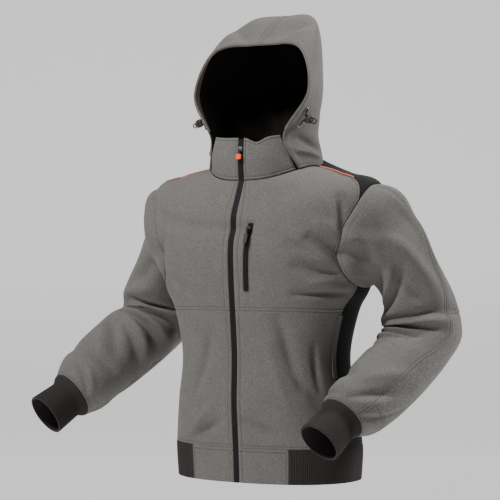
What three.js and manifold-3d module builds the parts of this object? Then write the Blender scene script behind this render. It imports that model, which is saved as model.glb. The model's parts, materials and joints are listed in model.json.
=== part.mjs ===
// Softshell jacket with its hood up, filled out as if worn, in millimetres.
// +Z is up, the front faces -Y and the wearer's left is +X. The origin lies between
// the shoulders, at the height of the side neck. Each sewn piece is a thin closed wall.
import * as THREE from 'three';
import * as BufferGeometryUtils from 'three/addons/utils/BufferGeometryUtils.js';
import Module from 'manifold-3d';

const wasm = await Module();
wasm.setup();

// Cloth and trim sizes
const SHELL_THICKNESS = 2.2;
const RIB_THICKNESS = 2.8;
const FACING_THICKNESS = 1.4;
const ZIP_THICKNESS = 1.6;
const PIPING_RADIUS = 1.1;
const SEAM_GAP = 0.34;
const LAP_LIFT = 4.4;
const ZIP_HALF_WIDTH = 6.2;
const FRONT_EDGE_X = 6.6;

// Levels of the body rings, from the hem up
const HEM = 0;
const HEM_SEAM = 1;
const POCKET_BOTTOM = 2.55;
const FRONT_SEAM = 4;
const POCKET_TOP = 3.92;
const NECK = 9;

// Where the pieces meet round the body, in degrees from the centre front
const HEM_RIB_START = 31;
const SIDE_FRONT = 79;
const SIDE_BACK = 117;
const YOKE_FRONT_NECK = 88;
const COLLAR_END_BASE = 60;
const COLLAR_END_TOP = 43.5;

// Body rings: heights at the centre front, side and centre back, half the width, the
// front and back depth, and how square the plan is (2 is an ellipse)
const BODY_RINGS = [
  { frontZ: -708, sideZ: -707, backZ: -705, halfWidth: 207, frontY: -130, backY: 140, square: 2.3 },
  { frontZ: -635, sideZ: -632, backZ: -632, halfWidth: 210, frontY: -134, backY: 142, square: 2.3 },
  { frontZ: -540, sideZ: -540, backZ: -540, halfWidth: 199, frontY: -141, backY: 132, square: 2.3 },
  { frontZ: -445, sideZ: -445, backZ: -445, halfWidth: 188, frontY: -139, backY: 122, square: 2.3 },
  { frontZ: -348, sideZ: -350, backZ: -352, halfWidth: 207, frontY: -147, backY: 134, square: 2.3 },
  { frontZ: -285, sideZ: -298, backZ: -287, halfWidth: 234, frontY: -153, backY: 145, square: 2.3 },
  { frontZ: -218, sideZ: -195, backZ: -217, halfWidth: 258, frontY: -155, backY: 150, square: 2.3 },
  { frontZ: -152, sideZ: -84, backZ: -118, halfWidth: 262, frontY: -143, backY: 138, square: 2.4 },
  { frontZ: -111, sideZ: -58, backZ: -50, halfWidth: 192, frontY: -126, backY: 118, square: 2.3 },
  { frontZ: -75, sideZ: -43, backZ: -5, halfWidth: 121, frontY: -111, backY: 98, square: 2.1 },
];

// Collar rings, from the neck seam to the top edge
const COLLAR_RINGS = [
  { frontZ: -74.4, sideZ: -42.4, backZ: -4.4, halfWidth: 120, frontY: -111, backY: 97, square: 2.1 },
  { frontZ: -30, sideZ: -6, backZ: 22, halfWidth: 119, frontY: -115, backY: 97, square: 2.1 },
  { frontZ: 15, sideZ: 28, backZ: 46, halfWidth: 113, frontY: -112, backY: 94, square: 2.1 },
];

// The armhole round the left arm, one row for each 30 degrees, from the shoulder tip
// over the front to the underarm and back up: body angle and body level
const ARMHOLE = [
  { angle: 91, level: 7.0 },
  { angle: 77, level: 6.88 },
  { angle: 64, level: 6.52 },
  { angle: 58, level: 6.05 },
  { angle: 61, level: 5.5 },
  { angle: 74, level: 5.12 },
  { angle: 93, level: 4.98 },
  { angle: 111, level: 5.15 },
  { angle: 121, level: 5.55 },
  { angle: 124, level: 6.05 },
  { angle: 119, level: 6.45 },
  { angle: 106, level: 6.85 },
];
const ARMHOLE_STEPS = 24;
const FRONT_YOKE_STEP = 3;
const FRONT_SIDE_STEP = 11;
const BACK_SIDE_STEP = 13;
const BACK_YOKE_STEP = 20;

// Sleeve sections from the shoulder to the cuff seam: the centre, the way the section
// faces, and its reach outwards, inwards and to the front and back
const LEFT_UPPER_ARM = [
  { x: 284, y: 40, z: -230, aimX: 0.84, aimY: 0.15, aimZ: -0.52, out: 88, inn: 78, deep: 82 },
  { x: 303, y: 64, z: -290, aimX: 0.62, aimY: 0.25, aimZ: -0.74, out: 79, inn: 68, deep: 80 },
  { x: 316, y: 82, z: -345, aimX: 0.25, aimY: 0.12, aimZ: -0.92, out: 83, inn: 80, deep: 83 },
  { x: 321, y: 93, z: -394, aimX: 0.0, aimY: -0.16, aimZ: -0.97, out: 85, inn: 80, deep: 84 },
];
const RIGHT_UPPER_ARM = [
  { x: 276, y: 42, z: -232, aimX: 0.85, aimY: 0.15, aimZ: -0.5, out: 76, inn: 72, deep: 76 },
  { x: 299, y: 66, z: -284, aimX: 0.66, aimY: 0.15, aimZ: -0.7, out: 84, inn: 62, deep: 80 },
  { x: 328, y: 82, z: -322, aimX: 0.25, aimY: 0.08, aimZ: -0.92, out: 86, inn: 80, deep: 82 },
  { x: 333, y: 86, z: -364, aimX: 0.06, aimY: -0.2, aimZ: -0.97, out: 90, inn: 88, deep: 82 },
];
const LEFT_FOREARM = [
  { x: 315, y: 63, z: -428, aimX: -0.15, aimY: -0.44, aimZ: -0.88, out: 80, inn: 74, deep: 76 },
  { x: 306, y: 29, z: -455, aimX: -0.25, aimY: -0.66, aimZ: -0.7, out: 77, inn: 72, deep: 74 },
  { x: 291, y: -13, z: -489, aimX: -0.27, aimY: -0.75, aimZ: -0.6, out: 75, inn: 69, deep: 73 },
  { x: 272, y: -58, z: -523, aimX: -0.27, aimY: -0.75, aimZ: -0.6, out: 72, inn: 65, deep: 71 },
  { x: 255, y: -95, z: -549, aimX: -0.27, aimY: -0.75, aimZ: -0.6, out: 66, inn: 61, deep: 65 },
  { x: 243, y: -116, z: -563, aimX: -0.27, aimY: -0.75, aimZ: -0.6, out: 51, inn: 51, deep: 50 },
];
const RIGHT_FOREARM = [
  { x: 345, y: 60, z: -392, aimX: 0.16, aimY: -0.46, aimZ: -0.86, out: 88, inn: 84, deep: 77 },
  { x: 361, y: 28, z: -418, aimX: 0.28, aimY: -0.66, aimZ: -0.68, out: 83, inn: 79, deep: 77 },
  { x: 380, y: -14, z: -450, aimX: 0.36, aimY: -0.76, aimZ: -0.53, out: 80, inn: 76, deep: 77 },
  { x: 401, y: -60, z: -485, aimX: 0.36, aimY: -0.76, aimZ: -0.53, out: 76, inn: 74, deep: 74 },
  { x: 418, y: -97, z: -516, aimX: 0.36, aimY: -0.76, aimZ: -0.53, out: 70, inn: 69, deep: 69 },
  { x: 430, y: -123, z: -541, aimX: 0.36, aimY: -0.76, aimZ: -0.53, out: 54, inn: 54, deep: 53 },
];
const SLEEVE_SECTIONS = LEFT_UPPER_ARM.length + LEFT_FOREARM.length;
// How far the cloth sets off straight outwards from the armhole seam, at the shoulder
// tip, at the front and back, and at the underarm
const CAP_RISE = 190;
const CAP_SIDE = 120;
const CAP_UNDER = 30;
const CUFF_LENGTH = 78;
const CUFF_WAIST_RADIUS = 43;
const CUFF_MOUTH_RADIUS = 47;

// The elbow panel lies on the outside and underside of the arm, in degrees round the
// sleeve and in sleeve sections
const ELBOW_PANEL = { from: -150, to: 22, top: 3.4, bottom: 8.6 };

// Hood arches from the face edge to the neck at the back: the seam point on top, the
// widest point, the waist above the collar, and the body angle of the foot
const HOOD_ARCHES = [
  { topY: -34, topZ: 219, wideX: 143, wideY: -74, wideZ: 110, waistX: 91, waistY: -90, waistZ: 18, foot: 62 },
  { topY: 6, topZ: 254, wideX: 142, wideY: -42, wideZ: 122, waistX: 113, waistY: -48, waistZ: 20, foot: 82 },
  { topY: 48, topZ: 280, wideX: 133, wideY: 0, wideZ: 130, waistX: 117, waistY: 2, waistZ: 22, foot: 100 },
  { topY: 88, topZ: 288, wideX: 111, wideY: 44, wideZ: 136, waistX: 105, waistY: 42, waistZ: 26, foot: 120 },
  { topY: 112, topZ: 242, wideX: 80, wideY: 80, wideZ: 122, waistX: 76, waistY: 78, waistZ: 30, foot: 142 },
  { topY: 118, topZ: 130, wideX: 42, wideY: 108, wideZ: 82, waistX: 44, waistY: 102, waistZ: 34, foot: 160 },
  { topY: 103, topZ: 12, wideX: 7, wideY: 102, wideZ: 8, waistX: 12, waistY: 101, waistZ: 4, foot: 173 },
];
const HOOD_BACK = HOOD_ARCHES.length - 1;
const FACING_DEPTH = 0.6;
// The rounded shoulder between an arch's top and its widest point, as shares of both
const HOOD_SHOULDER = { out: 0.74, forward: 0.4, down: 0.12 };

// Folds on the body: from and to, in body degrees and levels, height (a trough is
// negative) and half width
const BODY_FOLDS = [
  { angle: 43, level: 6.1, toAngle: 64, toLevel: 5.35, height: -9, spread: 13 },
  { angle: 36, level: 5.42, toAngle: 60, toLevel: 5.25, height: -9, spread: 15 },
  { angle: 38, level: 4.85, toAngle: 62, toLevel: 4.95, height: -6, spread: 11 },
  { angle: 54, level: 6.7, toAngle: 51, toLevel: 6.15, height: -5, spread: 12 },
  { angle: 30, level: 3.8, toAngle: 50, toLevel: 2.45, height: -7, spread: 17 },
  { angle: -14, level: 1.4, toAngle: -28, toLevel: 1.05, height: -8, spread: 11 },
  { angle: -16, level: 4.0, toAngle: -27, toLevel: 2.6, height: -6, spread: 17 },
  { angle: -46, level: 6.1, toAngle: -66, toLevel: 5.4, height: -7, spread: 14 },
  { angle: 150, level: 5.9, toAngle: 122, toLevel: 5.3, height: -8, spread: 15 },
  { angle: -150, level: 5.8, toAngle: -123, toLevel: 5.2, height: -8, spread: 15 },
  { angle: 168, level: 3.6, toAngle: 140, toLevel: 2.6, height: -7, spread: 17 },
  { angle: -165, level: 3.2, toAngle: -138, toLevel: 2.3, height: -7, spread: 17 },
];

// Folds on a sleeve: from and to, in degrees round it and in sections, height and spread
const LEFT_SLEEVE_FOLDS = [
  { angle: 60, level: 0.5, toAngle: 10, toLevel: 2.9, height: 6, spread: 11 },
  { angle: 95, level: 1.3, toAngle: 40, toLevel: 3.0, height: -7, spread: 12 },
  { angle: 130, level: 2.6, toAngle: 62, toLevel: 2.5, height: -7, spread: 11 },
  { angle: 150, level: 3.9, toAngle: 20, toLevel: 3.65, height: -6, spread: 11 },
  { angle: 160, level: 4.6, toAngle: 45, toLevel: 4.35, height: 4, spread: 10 },
  { angle: 160, level: 5.2, toAngle: 60, toLevel: 4.95, height: -7, spread: 10 },
  { angle: 170, level: 7.4, toAngle: 60, toLevel: 7.9, height: -6, spread: 12 },
  { angle: -20, level: 9.1, toAngle: -110, toLevel: 8.6, height: -5, spread: 9 },
];
const RIGHT_SLEEVE_FOLDS = [
  { angle: 40, level: 3.2, toAngle: 160, toLevel: 4.6, height: -6, spread: 12 },
  { angle: 60, level: 4.2, toAngle: 170, toLevel: 5.4, height: 4, spread: 11 },
  { angle: 60, level: 5.0, toAngle: 180, toLevel: 5.9, height: -7, spread: 11 },
  { angle: 60, level: 6.2, toAngle: 140, toLevel: 7.6, height: -6, spread: 12 },
  { angle: 10, level: 1.0, toAngle: -30, toLevel: 3.0, height: -6, spread: 14 },
];
const MM_PER_BODY_DEGREE = 3.6;
const MM_PER_BODY_LEVEL = 90;
const MM_PER_SLEEVE_DEGREE = 1.35;
const MM_PER_SLEEVE_SECTION = 48;

// Zip pulls: a ring round the slider's pin, a flat link and a tab
const PIN_RADIUS = 1.1;
const PIN_HEIGHT = 5.6;
const PULL_RING_INNER = 1.6;
const PULL_RING_OUTER = 3.0;
const PULL_THICKNESS = 1.8;
const SLIDER_WIDTH = 10;
const SLIDER_LENGTH = 13;
const SLIDER_HEIGHT = 1.8;
const LUG_WIDTH = 1.6;
const LUG_SPACING = 3.6;

// Hood drawcords, which leave one eyelet, pass through a cord lock, turn and go back
const CORD_DIAMETER = 2.4;
const CORD_SPACING = 9.6;
const CORD_REACH = 27;
const LOCK_LENGTH = 17;
const LOCK_WIDTH = 17;
const LOCK_DEPTH = 8;
const LOCK_START = 7;

// Colours, roughness and metalness of the cloths and trims
const FINISHES = {
  shell: { color: 0x7f7c77, roughness: 0.9, metalness: 0 },
  elbow: { color: 0x6f6c68, roughness: 0.92, metalness: 0 },
  black: { color: 0x242221, roughness: 0.9, metalness: 0 },
  rib: { color: 0x3d383b, roughness: 0.95, metalness: 0 },
  facing: { color: 0x5f5650, roughness: 0.55, metalness: 0 },
  zip: { color: 0x151416, roughness: 0.6, metalness: 0 },
  metal: { color: 0x9a9a98, roughness: 0.35, metalness: 0.9 },
  tab: { color: 0xf77a46, roughness: 0.5, metalness: 0 },
  piping: { color: 0xd9826f, roughness: 0.6, metalness: 0 },
  cord: { color: 0x1d1b1c, roughness: 0.8, metalness: 0 },
};

const radians = THREE.MathUtils.degToRad;
const mix = THREE.MathUtils.lerp;
const jacket = new THREE.Group();

function addPiece(name, geometry, finish) {
  const mesh = new THREE.Mesh(geometry, new THREE.MeshStandardMaterial(FINISHES[finish]));
  mesh.name = name;
  jacket.add(mesh);
  return mesh;
}

// Smooth curve through evenly spaced values
function throughValues(before, start, end, after, part) {
  const rise = (end - before) / 2;
  const fall = (after - start) / 2;
  const a = 2 * (start - end) + rise + fall;
  const b = 3 * (end - start) - 2 * rise - fall;
  return ((a * part + b) * part + rise) * part + start;
}

function columnAt(rows, column, place) {
  const last = rows.length - 1;
  const index = Math.min(Math.max(Math.floor(place), 0), last - 1);
  const start = rows[index][column];
  const end = rows[index + 1][column];
  const before = index > 0 ? rows[index - 1][column] : 2 * start - end;
  const after = index + 1 < last ? rows[index + 2][column] : 2 * end - start;
  return throughValues(before, start, end, after, place - index);
}

function pointBetween(points, place, before) {
  const last = points.length - 1;
  const index = Math.min(Math.max(Math.floor(place), 0), last - 1);
  const start = points[index];
  const end = points[index + 1];
  const first = before ?? start.clone().multiplyScalar(2).sub(end);
  const previous = index > 0 ? points[index - 1] : first;
  const next = index + 1 < last ? points[index + 2] : end.clone().multiplyScalar(2).sub(start);
  const part = place - index;
  return new THREE.Vector3(
    throughValues(previous.x, start.x, end.x, next.x, part),
    throughValues(previous.y, start.y, end.y, next.y, part),
    throughValues(previous.z, start.z, end.z, next.z, part),
  );
}

// Height of the folds at a place, from how far it lies from each fold's line
function foldHeight(folds, angle, level, mmPerDegree, mmPerLevel) {
  let height = 0;
  for (const fold of folds) {
    const turn = ((angle - fold.angle + 540) % 360) - 180;
    const x = turn * mmPerDegree;
    const y = (level - fold.level) * mmPerLevel;
    const alongX = (fold.toAngle - fold.angle) * mmPerDegree;
    const alongY = (fold.toLevel - fold.level) * mmPerLevel;
    const length2 = alongX * alongX + alongY * alongY;
    const part = THREE.MathUtils.clamp((x * alongX + y * alongY) / length2, 0, 1);
    const away2 = (x - part * alongX) ** 2 + (y - part * alongY) ** 2;
    const middle = 0.45 + 0.55 * Math.sin(Math.PI * part);
    height += fold.height * middle * Math.exp(-away2 / (2 * fold.spread * fold.spread));
  }
  return height;
}

// A surface gives a point for an angle and a level; side is 1 where the angle's way
// crossed with the level's way points out of the cloth
function normalOn(surface, angle, level) {
  const step = 0.02;
  const acrossA = surface.at(angle + step * 4, level);
  const acrossB = surface.at(angle - step * 4, level);
  const alongA = surface.at(angle, level + step);
  const alongB = surface.at(angle, level - step);
  return acrossA.sub(acrossB).cross(alongA.sub(alongB)).normalize().multiplyScalar(surface.side);
}

function movedOut(surface, angle, level, lift) {
  return surface.at(angle, level).addScaledVector(normalOn(surface, angle, level), lift);
}

function ringPoint(rings, angle, level) {
  const turn = radians(angle);
  const power = 2 / columnAt(rings, 'square', level);
  const sine = Math.sin(turn);
  const cosine = Math.cos(turn);
  const frontY = columnAt(rings, 'frontY', level);
  const backY = columnAt(rings, 'backY', level);
  const endZ = columnAt(rings, cosine > 0 ? 'frontZ' : 'backZ', level);
  const sideShare = Math.abs(sine) ** 2.5;
  return new THREE.Vector3(
    columnAt(rings, 'halfWidth', level) * Math.sign(sine) * Math.abs(sine) ** power,
    (frontY + backY) / 2 - ((backY - frontY) / 2) * Math.sign(cosine) * Math.abs(cosine) ** power,
    mix(endZ, columnAt(rings, 'sideZ', level), sideShare),
  );
}

// The body angle at which a ring lies x to the wearer's left of its centre front
function angleForX(rings, x, level) {
  const share = Math.abs(x) / columnAt(rings, 'halfWidth', level);
  const turn = Math.asin(share ** (columnAt(rings, 'square', level) / 2));
  return Math.sign(x) * THREE.MathUtils.radToDeg(turn);
}

const plainBody = { side: 1, at: (angle, level) => ringPoint(BODY_RINGS, angle, level) };
const body = {
  side: 1,
  at(angle, level) {
    const fade = THREE.MathUtils.smoothstep(level, HEM_SEAM - 0.2, HEM_SEAM + 0.5);
    const height = foldHeight(BODY_FOLDS, angle, level, MM_PER_BODY_DEGREE, MM_PER_BODY_LEVEL);
    const point = plainBody.at(angle, level);
    return Math.abs(height) < 0.01 ? point
      : point.addScaledVector(normalOn(plainBody, angle, level), height * fade);
  },
};
const collar = { side: 1, at: (angle, level) => ringPoint(COLLAR_RINGS, angle, level) };

// A closed wall over a grid of places. placeAt gives the outer point and the way out for
// a column and a row, and round joins the last column to the first.
function clothWall({ columns, rows, placeAt, thickness, round = false }) {
  const positions = [];
  const indices = [];
  const numbers = new Map();
  const columnOf = (i) => (round ? (i + columns) % columns : i);
  const hasCell = (i, j) => j >= 0 && j < rows && (round || (i >= 0 && i < columns));
  const vertex = (i, j, layer) => {
    const key = `${columnOf(i)},${j},${layer}`;
    if (!numbers.has(key)) {
      const { point, out } = placeAt(columnOf(i), j);
      const placed = layer === 'outer' ? point : point.clone().addScaledVector(out, -thickness);
      numbers.set(key, positions.length / 3);
      positions.push(placed.x, placed.y, placed.z);
    }
    return numbers.get(key);
  };
  const quad = (a, b, c, d) => indices.push(a, b, c, a, c, d);
  for (let i = 0; i < columns; i += 1) {
    for (let j = 0; j < rows; j += 1) {
      const corners = [[i, j], [i + 1, j], [i + 1, j + 1], [i, j + 1]];
      const outer = corners.map(([p, q]) => vertex(p, q, 'outer'));
      const inner = corners.map(([p, q]) => vertex(p, q, 'inner'));
      quad(outer[0], outer[1], outer[2], outer[3]);
      quad(inner[0], inner[3], inner[2], inner[1]);
      const neighbours = [[i, j - 1], [i + 1, j], [i, j + 1], [i - 1, j]];
      neighbours.forEach(([p, q], edge) => {
        if (hasCell(p, q)) return;
        const next = (edge + 1) % 4;
        quad(outer[next], outer[edge], inner[edge], inner[next]);
      });
    }
  }
  return closedGeometry(positions, indices);
}

// Turns the faces outwards where the grid runs the other way round
function closedGeometry(positions, indices) {
  let volume = 0;
  const corner = (k) => new THREE.Vector3().fromArray(positions, indices[k] * 3);
  for (let k = 0; k < indices.length; k += 3) {
    volume += corner(k).dot(corner(k + 1).cross(corner(k + 2)));
  }
  if (volume < 0) indices.reverse();
  const geometry = new THREE.BufferGeometry();
  geometry.setAttribute('position', new THREE.Float32BufferAttribute(positions, 3));
  geometry.setIndex(indices);
  geometry.computeVertexNormals();
  return geometry;
}

function mirrored(geometry) {
  const copy = geometry.clone();
  copy.scale(-1, 1, 1);
  return closedGeometry([...copy.attributes.position.array], [...copy.index.array]);
}

// A patch fills the space between four edges, each a function from 0 to 1 that gives
// [angle, level]; it stops half a seam gap short of them
function patchPlace(edges, across, up) {
  const { bottom, top, left, right } = edges;
  const [b, t, l, r] = [bottom(across), top(across), left(up), right(up)];
  const corners = [bottom(0), bottom(1), top(0), top(1)];
  return [0, 1].map((axis) => {
    const ruled = mix(b[axis], t[axis], up) + mix(l[axis], r[axis], across);
    const low = mix(corners[0][axis], corners[1][axis], across);
    const high = mix(corners[2][axis], corners[3][axis], across);
    return ruled - mix(low, high, up);
  });
}

function panel({ surface, edges, columns, rows, thickness = SHELL_THICKNESS, width, height, lift = 0 }) {
  const insetAcross = SEAM_GAP / 2 / width;
  const insetUp = SEAM_GAP / 2 / height;
  const placeAt = (i, j) => {
    const across = mix(insetAcross, 1 - insetAcross, i / columns);
    const up = mix(insetUp, 1 - insetUp, j / rows);
    const [angle, level] = patchPlace(edges, across, up);
    const out = normalOn(surface, angle, level);
    return { point: surface.at(angle, level).addScaledVector(out, lift), out };
  };
  return clothWall({ columns, rows, placeAt, thickness });
}

// Edge functions
const line = (from, to) => (part) => [mix(from[0], to[0], part), mix(from[1], to[1], part)];

// Edges in a row, each with its number of grid cells, so that their corners lie on
// the grid
function chain(...stretches) {
  const total = stretches.reduce((sum, stretch) => sum + stretch.cells, 0);
  return (part) => {
    let place = part * total;
    for (const stretch of stretches) {
      if (place <= stretch.cells + 1e-9 || stretch === stretches.at(-1)) {
        return stretch.edge(Math.min(place / stretch.cells, 1));
      }
      place -= stretch.cells;
    }
    return null;
  };
}

// A place on the armhole, in steps from the shoulder tip over the front
function armholePlace(step) {
  const place = ((step / ARMHOLE_STEPS) * ARMHOLE.length + ARMHOLE.length) % ARMHOLE.length;
  const index = Math.floor(place);
  const row = (offset) => ARMHOLE[(index + offset + ARMHOLE.length) % ARMHOLE.length];
  return ['angle', 'level'].map((column) => throughValues(
    row(-1)[column], row(0)[column], row(1)[column], row(2)[column], place - index));
}
const armholeEdge = (from, to) => (part) => armholePlace(mix(from, to, part));
const FRONT_YOKE_CORNER = armholePlace(FRONT_YOKE_STEP);
const FRONT_SIDE_CORNER = armholePlace(FRONT_SIDE_STEP);
const BACK_SIDE_CORNER = armholePlace(BACK_SIDE_STEP);
const BACK_YOKE_CORNER = armholePlace(BACK_YOKE_STEP);

function frontEdge(fromLevel, toLevel) {
  return (part) => {
    const level = mix(fromLevel, toLevel, part);
    return [angleForX(BODY_RINGS, FRONT_EDGE_X, level), level];
  };
}

function addPair(name, geometry, finish) {
  addPiece(`${name}_left`, geometry, finish);
  addPiece(`${name}_right`, mirrored(geometry), finish);
}

// Panels of the left half are worked out on the surface itself; those of the right
// half on its mirror image, so that each side keeps its own folds
const mirrorSurface = (surface) => ({
  side: surface.side,
  at(angle, level) {
    const point = surface.at(-angle, level);
    return new THREE.Vector3(-point.x, point.y, point.z);
  },
});
const SIDES = [
  { name: 'left', body, collar, turn: (geometry) => geometry },
  { name: 'right', body: mirrorSurface(body), collar: mirrorSurface(collar), turn: mirrored },
];

for (const half of SIDES) {
  const frontStart = angleForX(BODY_RINGS, FRONT_EDGE_X, FRONT_SEAM);
  const upperFront = panel({
    surface: half.body, columns: 10, rows: 16, width: 180, height: 290,
    edges: {
      bottom: line([frontStart, FRONT_SEAM], [SIDE_FRONT, FRONT_SEAM]),
      left: frontEdge(FRONT_SEAM, NECK),
      top: line(frontEdge(NECK, NECK)(0), [YOKE_FRONT_NECK, NECK]),
      right: chain(
        { cells: 3, edge: line([SIDE_FRONT, FRONT_SEAM], FRONT_SIDE_CORNER) },
        { cells: 8, edge: armholeEdge(FRONT_SIDE_STEP, FRONT_YOKE_STEP) },
        { cells: 5, edge: line(FRONT_YOKE_CORNER, [YOKE_FRONT_NECK, NECK]) },
      ),
    },
  });
  addPiece(`front_upper_${half.name}`, half.turn(upperFront), 'shell');

  const lowerFront = panel({
    surface: half.body, columns: 10, rows: 9, width: 250, height: 285,
    edges: {
      bottom: line(frontEdge(HEM_SEAM, HEM_SEAM)(0), [SIDE_FRONT, HEM_SEAM]),
      left: frontEdge(HEM_SEAM, FRONT_SEAM),
      top: line([frontStart, FRONT_SEAM], [SIDE_FRONT, FRONT_SEAM]),
      right: line([SIDE_FRONT, HEM_SEAM], [SIDE_FRONT, FRONT_SEAM]),
    },
  });
  addPiece(`front_lower_${half.name}`, half.turn(lowerFront), 'shell');

  const sidePanel = panel({
    surface: half.body, columns: 2, rows: 12, width: 90, height: 330,
    edges: {
      bottom: line([SIDE_FRONT, HEM_SEAM], [SIDE_BACK, HEM_SEAM]),
      left: chain(
        { cells: 9, edge: line([SIDE_FRONT, HEM_SEAM], [SIDE_FRONT, FRONT_SEAM]) },
        { cells: 3, edge: line([SIDE_FRONT, FRONT_SEAM], FRONT_SIDE_CORNER) },
      ),
      right: chain(
        { cells: 9, edge: line([SIDE_BACK, HEM_SEAM], [SIDE_BACK, FRONT_SEAM]) },
        { cells: 3, edge: line([SIDE_BACK, FRONT_SEAM], BACK_SIDE_CORNER) },
      ),
      top: armholeEdge(FRONT_SIDE_STEP, BACK_SIDE_STEP),
    },
  });
  addPiece(`side_panel_${half.name}`, half.turn(sidePanel), 'black');

  const hemFront = panel({
    surface: half.body, columns: 4, rows: 3, width: 110, height: 70,
    edges: {
      bottom: line(frontEdge(HEM, HEM)(0), [HEM_RIB_START, HEM]),
      left: frontEdge(HEM, HEM_SEAM),
      top: line(frontEdge(HEM_SEAM, HEM_SEAM)(0), [HEM_RIB_START, HEM_SEAM]),
      right: line([HEM_RIB_START, HEM], [HEM_RIB_START, HEM_SEAM]),
    },
  });
  addPiece(`hem_front_${half.name}`, half.turn(hemFront), 'shell');

  const pocketWelt = panel({
    surface: half.body, columns: 1, rows: 6, width: 18, height: 135, thickness: 1.6, lift: 2.9,
    edges: {
      bottom: line([SIDE_FRONT - 4.5, POCKET_BOTTOM], [SIDE_FRONT + 0.6, POCKET_BOTTOM]),
      left: line([SIDE_FRONT - 4.5, POCKET_BOTTOM], [SIDE_FRONT - 4.5, POCKET_TOP]),
      top: line([SIDE_FRONT - 4.5, POCKET_TOP], [SIDE_FRONT + 0.6, POCKET_TOP]),
      right: line([SIDE_FRONT + 0.6, POCKET_BOTTOM], [SIDE_FRONT + 0.6, POCKET_TOP]),
    },
  });
  addPiece(`pocket_welt_${half.name}`, half.turn(pocketWelt), 'shell');

  // The wearer's left top edge dips beside the zip, the right one is level
  const collarTop = (angle) => {
    const dip = half.name === 'left' ? 0.24 * Math.exp(-(((angle - 17) / 9) ** 2)) : 0;
    return 2 - dip;
  };
  const collarStart = (level) => angleForX(COLLAR_RINGS, FRONT_EDGE_X, level);
  const collarFront = panel({
    surface: half.collar, columns: 8, rows: 4, width: 110, height: 88,
    edges: {
      bottom: line([collarStart(0), 0], [COLLAR_END_BASE, 0]),
      left: (part) => [collarStart(2 * part), 2 * part],
      top: (part) => {
        const angle = mix(collarStart(2), COLLAR_END_TOP, part);
        return [angle, collarTop(angle)];
      },
      right: line([COLLAR_END_BASE, 0], [COLLAR_END_TOP, 2]),
    },
  });
  addPiece(`collar_${half.name}`, half.turn(collarFront), 'shell');
}

// The back, from the hem band to the yoke
const FULL_TURN = 360;
const back = panel({
  surface: body, columns: 16, rows: 19, width: 420, height: 480,
  edges: {
    bottom: line([SIDE_BACK, HEM_SEAM], [FULL_TURN - SIDE_BACK, HEM_SEAM]),
    left: chain(
      { cells: 9, edge: line([SIDE_BACK, HEM_SEAM], [SIDE_BACK, FRONT_SEAM]) },
      { cells: 3, edge: line([SIDE_BACK, FRONT_SEAM], BACK_SIDE_CORNER) },
      { cells: 7, edge: armholeEdge(BACK_SIDE_STEP, BACK_YOKE_STEP) },
    ),
    right: chain(
      { cells: 9, edge: line([-SIDE_BACK + FULL_TURN, HEM_SEAM], [-SIDE_BACK + FULL_TURN, FRONT_SEAM]) },
      { cells: 3, edge: (part) => mirroredPlace(line([SIDE_BACK, FRONT_SEAM], BACK_SIDE_CORNER)(part)) },
      { cells: 7, edge: (part) => mirroredPlace(armholeEdge(BACK_SIDE_STEP, BACK_YOKE_STEP)(part)) },
    ),
    top: line(BACK_YOKE_CORNER, mirroredPlace(BACK_YOKE_CORNER)),
  },
});
addPiece('back', back, 'shell');

function mirroredPlace([angle, level]) {
  return [FULL_TURN - angle, level];
}

// The yoke runs over both shoulders and across the upper back
const shoulderShare = armholeEdge(FRONT_YOKE_STEP, BACK_YOKE_STEP - ARMHOLE_STEPS);
const yoke = panel({
  surface: body, columns: 30, rows: 5, width: 700, height: 150,
  edges: {
    bottom: chain(
      { cells: 7, edge: shoulderShare },
      { cells: 16, edge: line(BACK_YOKE_CORNER, mirroredPlace(BACK_YOKE_CORNER)) },
      { cells: 7, edge: (part) => mirroredPlace(shoulderShare(1 - part)) },
    ),
    left: line(FRONT_YOKE_CORNER, [YOKE_FRONT_NECK, NECK]),
    right: line(mirroredPlace(FRONT_YOKE_CORNER), [FULL_TURN - YOKE_FRONT_NECK, NECK]),
    top: line([YOKE_FRONT_NECK, NECK], [FULL_TURN - YOKE_FRONT_NECK, NECK]),
  },
});
addPiece('yoke', yoke, 'black');

// The rib part of the hem band runs from one front round the back to the other
const HEM_RIB_COLUMNS = 36;
const hemRib = panel({
  surface: body, columns: HEM_RIB_COLUMNS, rows: 3, width: 860, height: 70, thickness: RIB_THICKNESS,
  edges: {
    bottom: line([HEM_RIB_START, HEM], [FULL_TURN - HEM_RIB_START, HEM]),
    left: line([HEM_RIB_START, HEM], [HEM_RIB_START, HEM_SEAM]),
    right: line([FULL_TURN - HEM_RIB_START, HEM], [FULL_TURN - HEM_RIB_START, HEM_SEAM]),
    top: line([HEM_RIB_START, HEM_SEAM], [FULL_TURN - HEM_RIB_START, HEM_SEAM]),
  },
});
addPiece('hem_rib', hemRib, 'rib');

// Sleeves: the first section is the armhole itself, the next are tilted ovals
function sectionPoint(row, turn) {
  const aim = new THREE.Vector3(row.aimX, row.aimY, row.aimZ).normalize();
  const outward = new THREE.Vector3(1, 0, 0.25);
  if (row.z > -250) outward.set(0.5, 0.15, 0.85);
  else if (row.z > -300) outward.set(0.75, 0.1, 0.6);
  outward.addScaledVector(aim, -outward.dot(aim)).normalize();
  const forward = aim.clone().cross(outward);
  const cosine = Math.cos(turn);
  return new THREE.Vector3(row.x, row.y, row.z)
    .addScaledVector(outward, cosine * (cosine > 0 ? row.out : row.inn))
    .addScaledVector(forward, Math.sin(turn) * row.deep);
}

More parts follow.
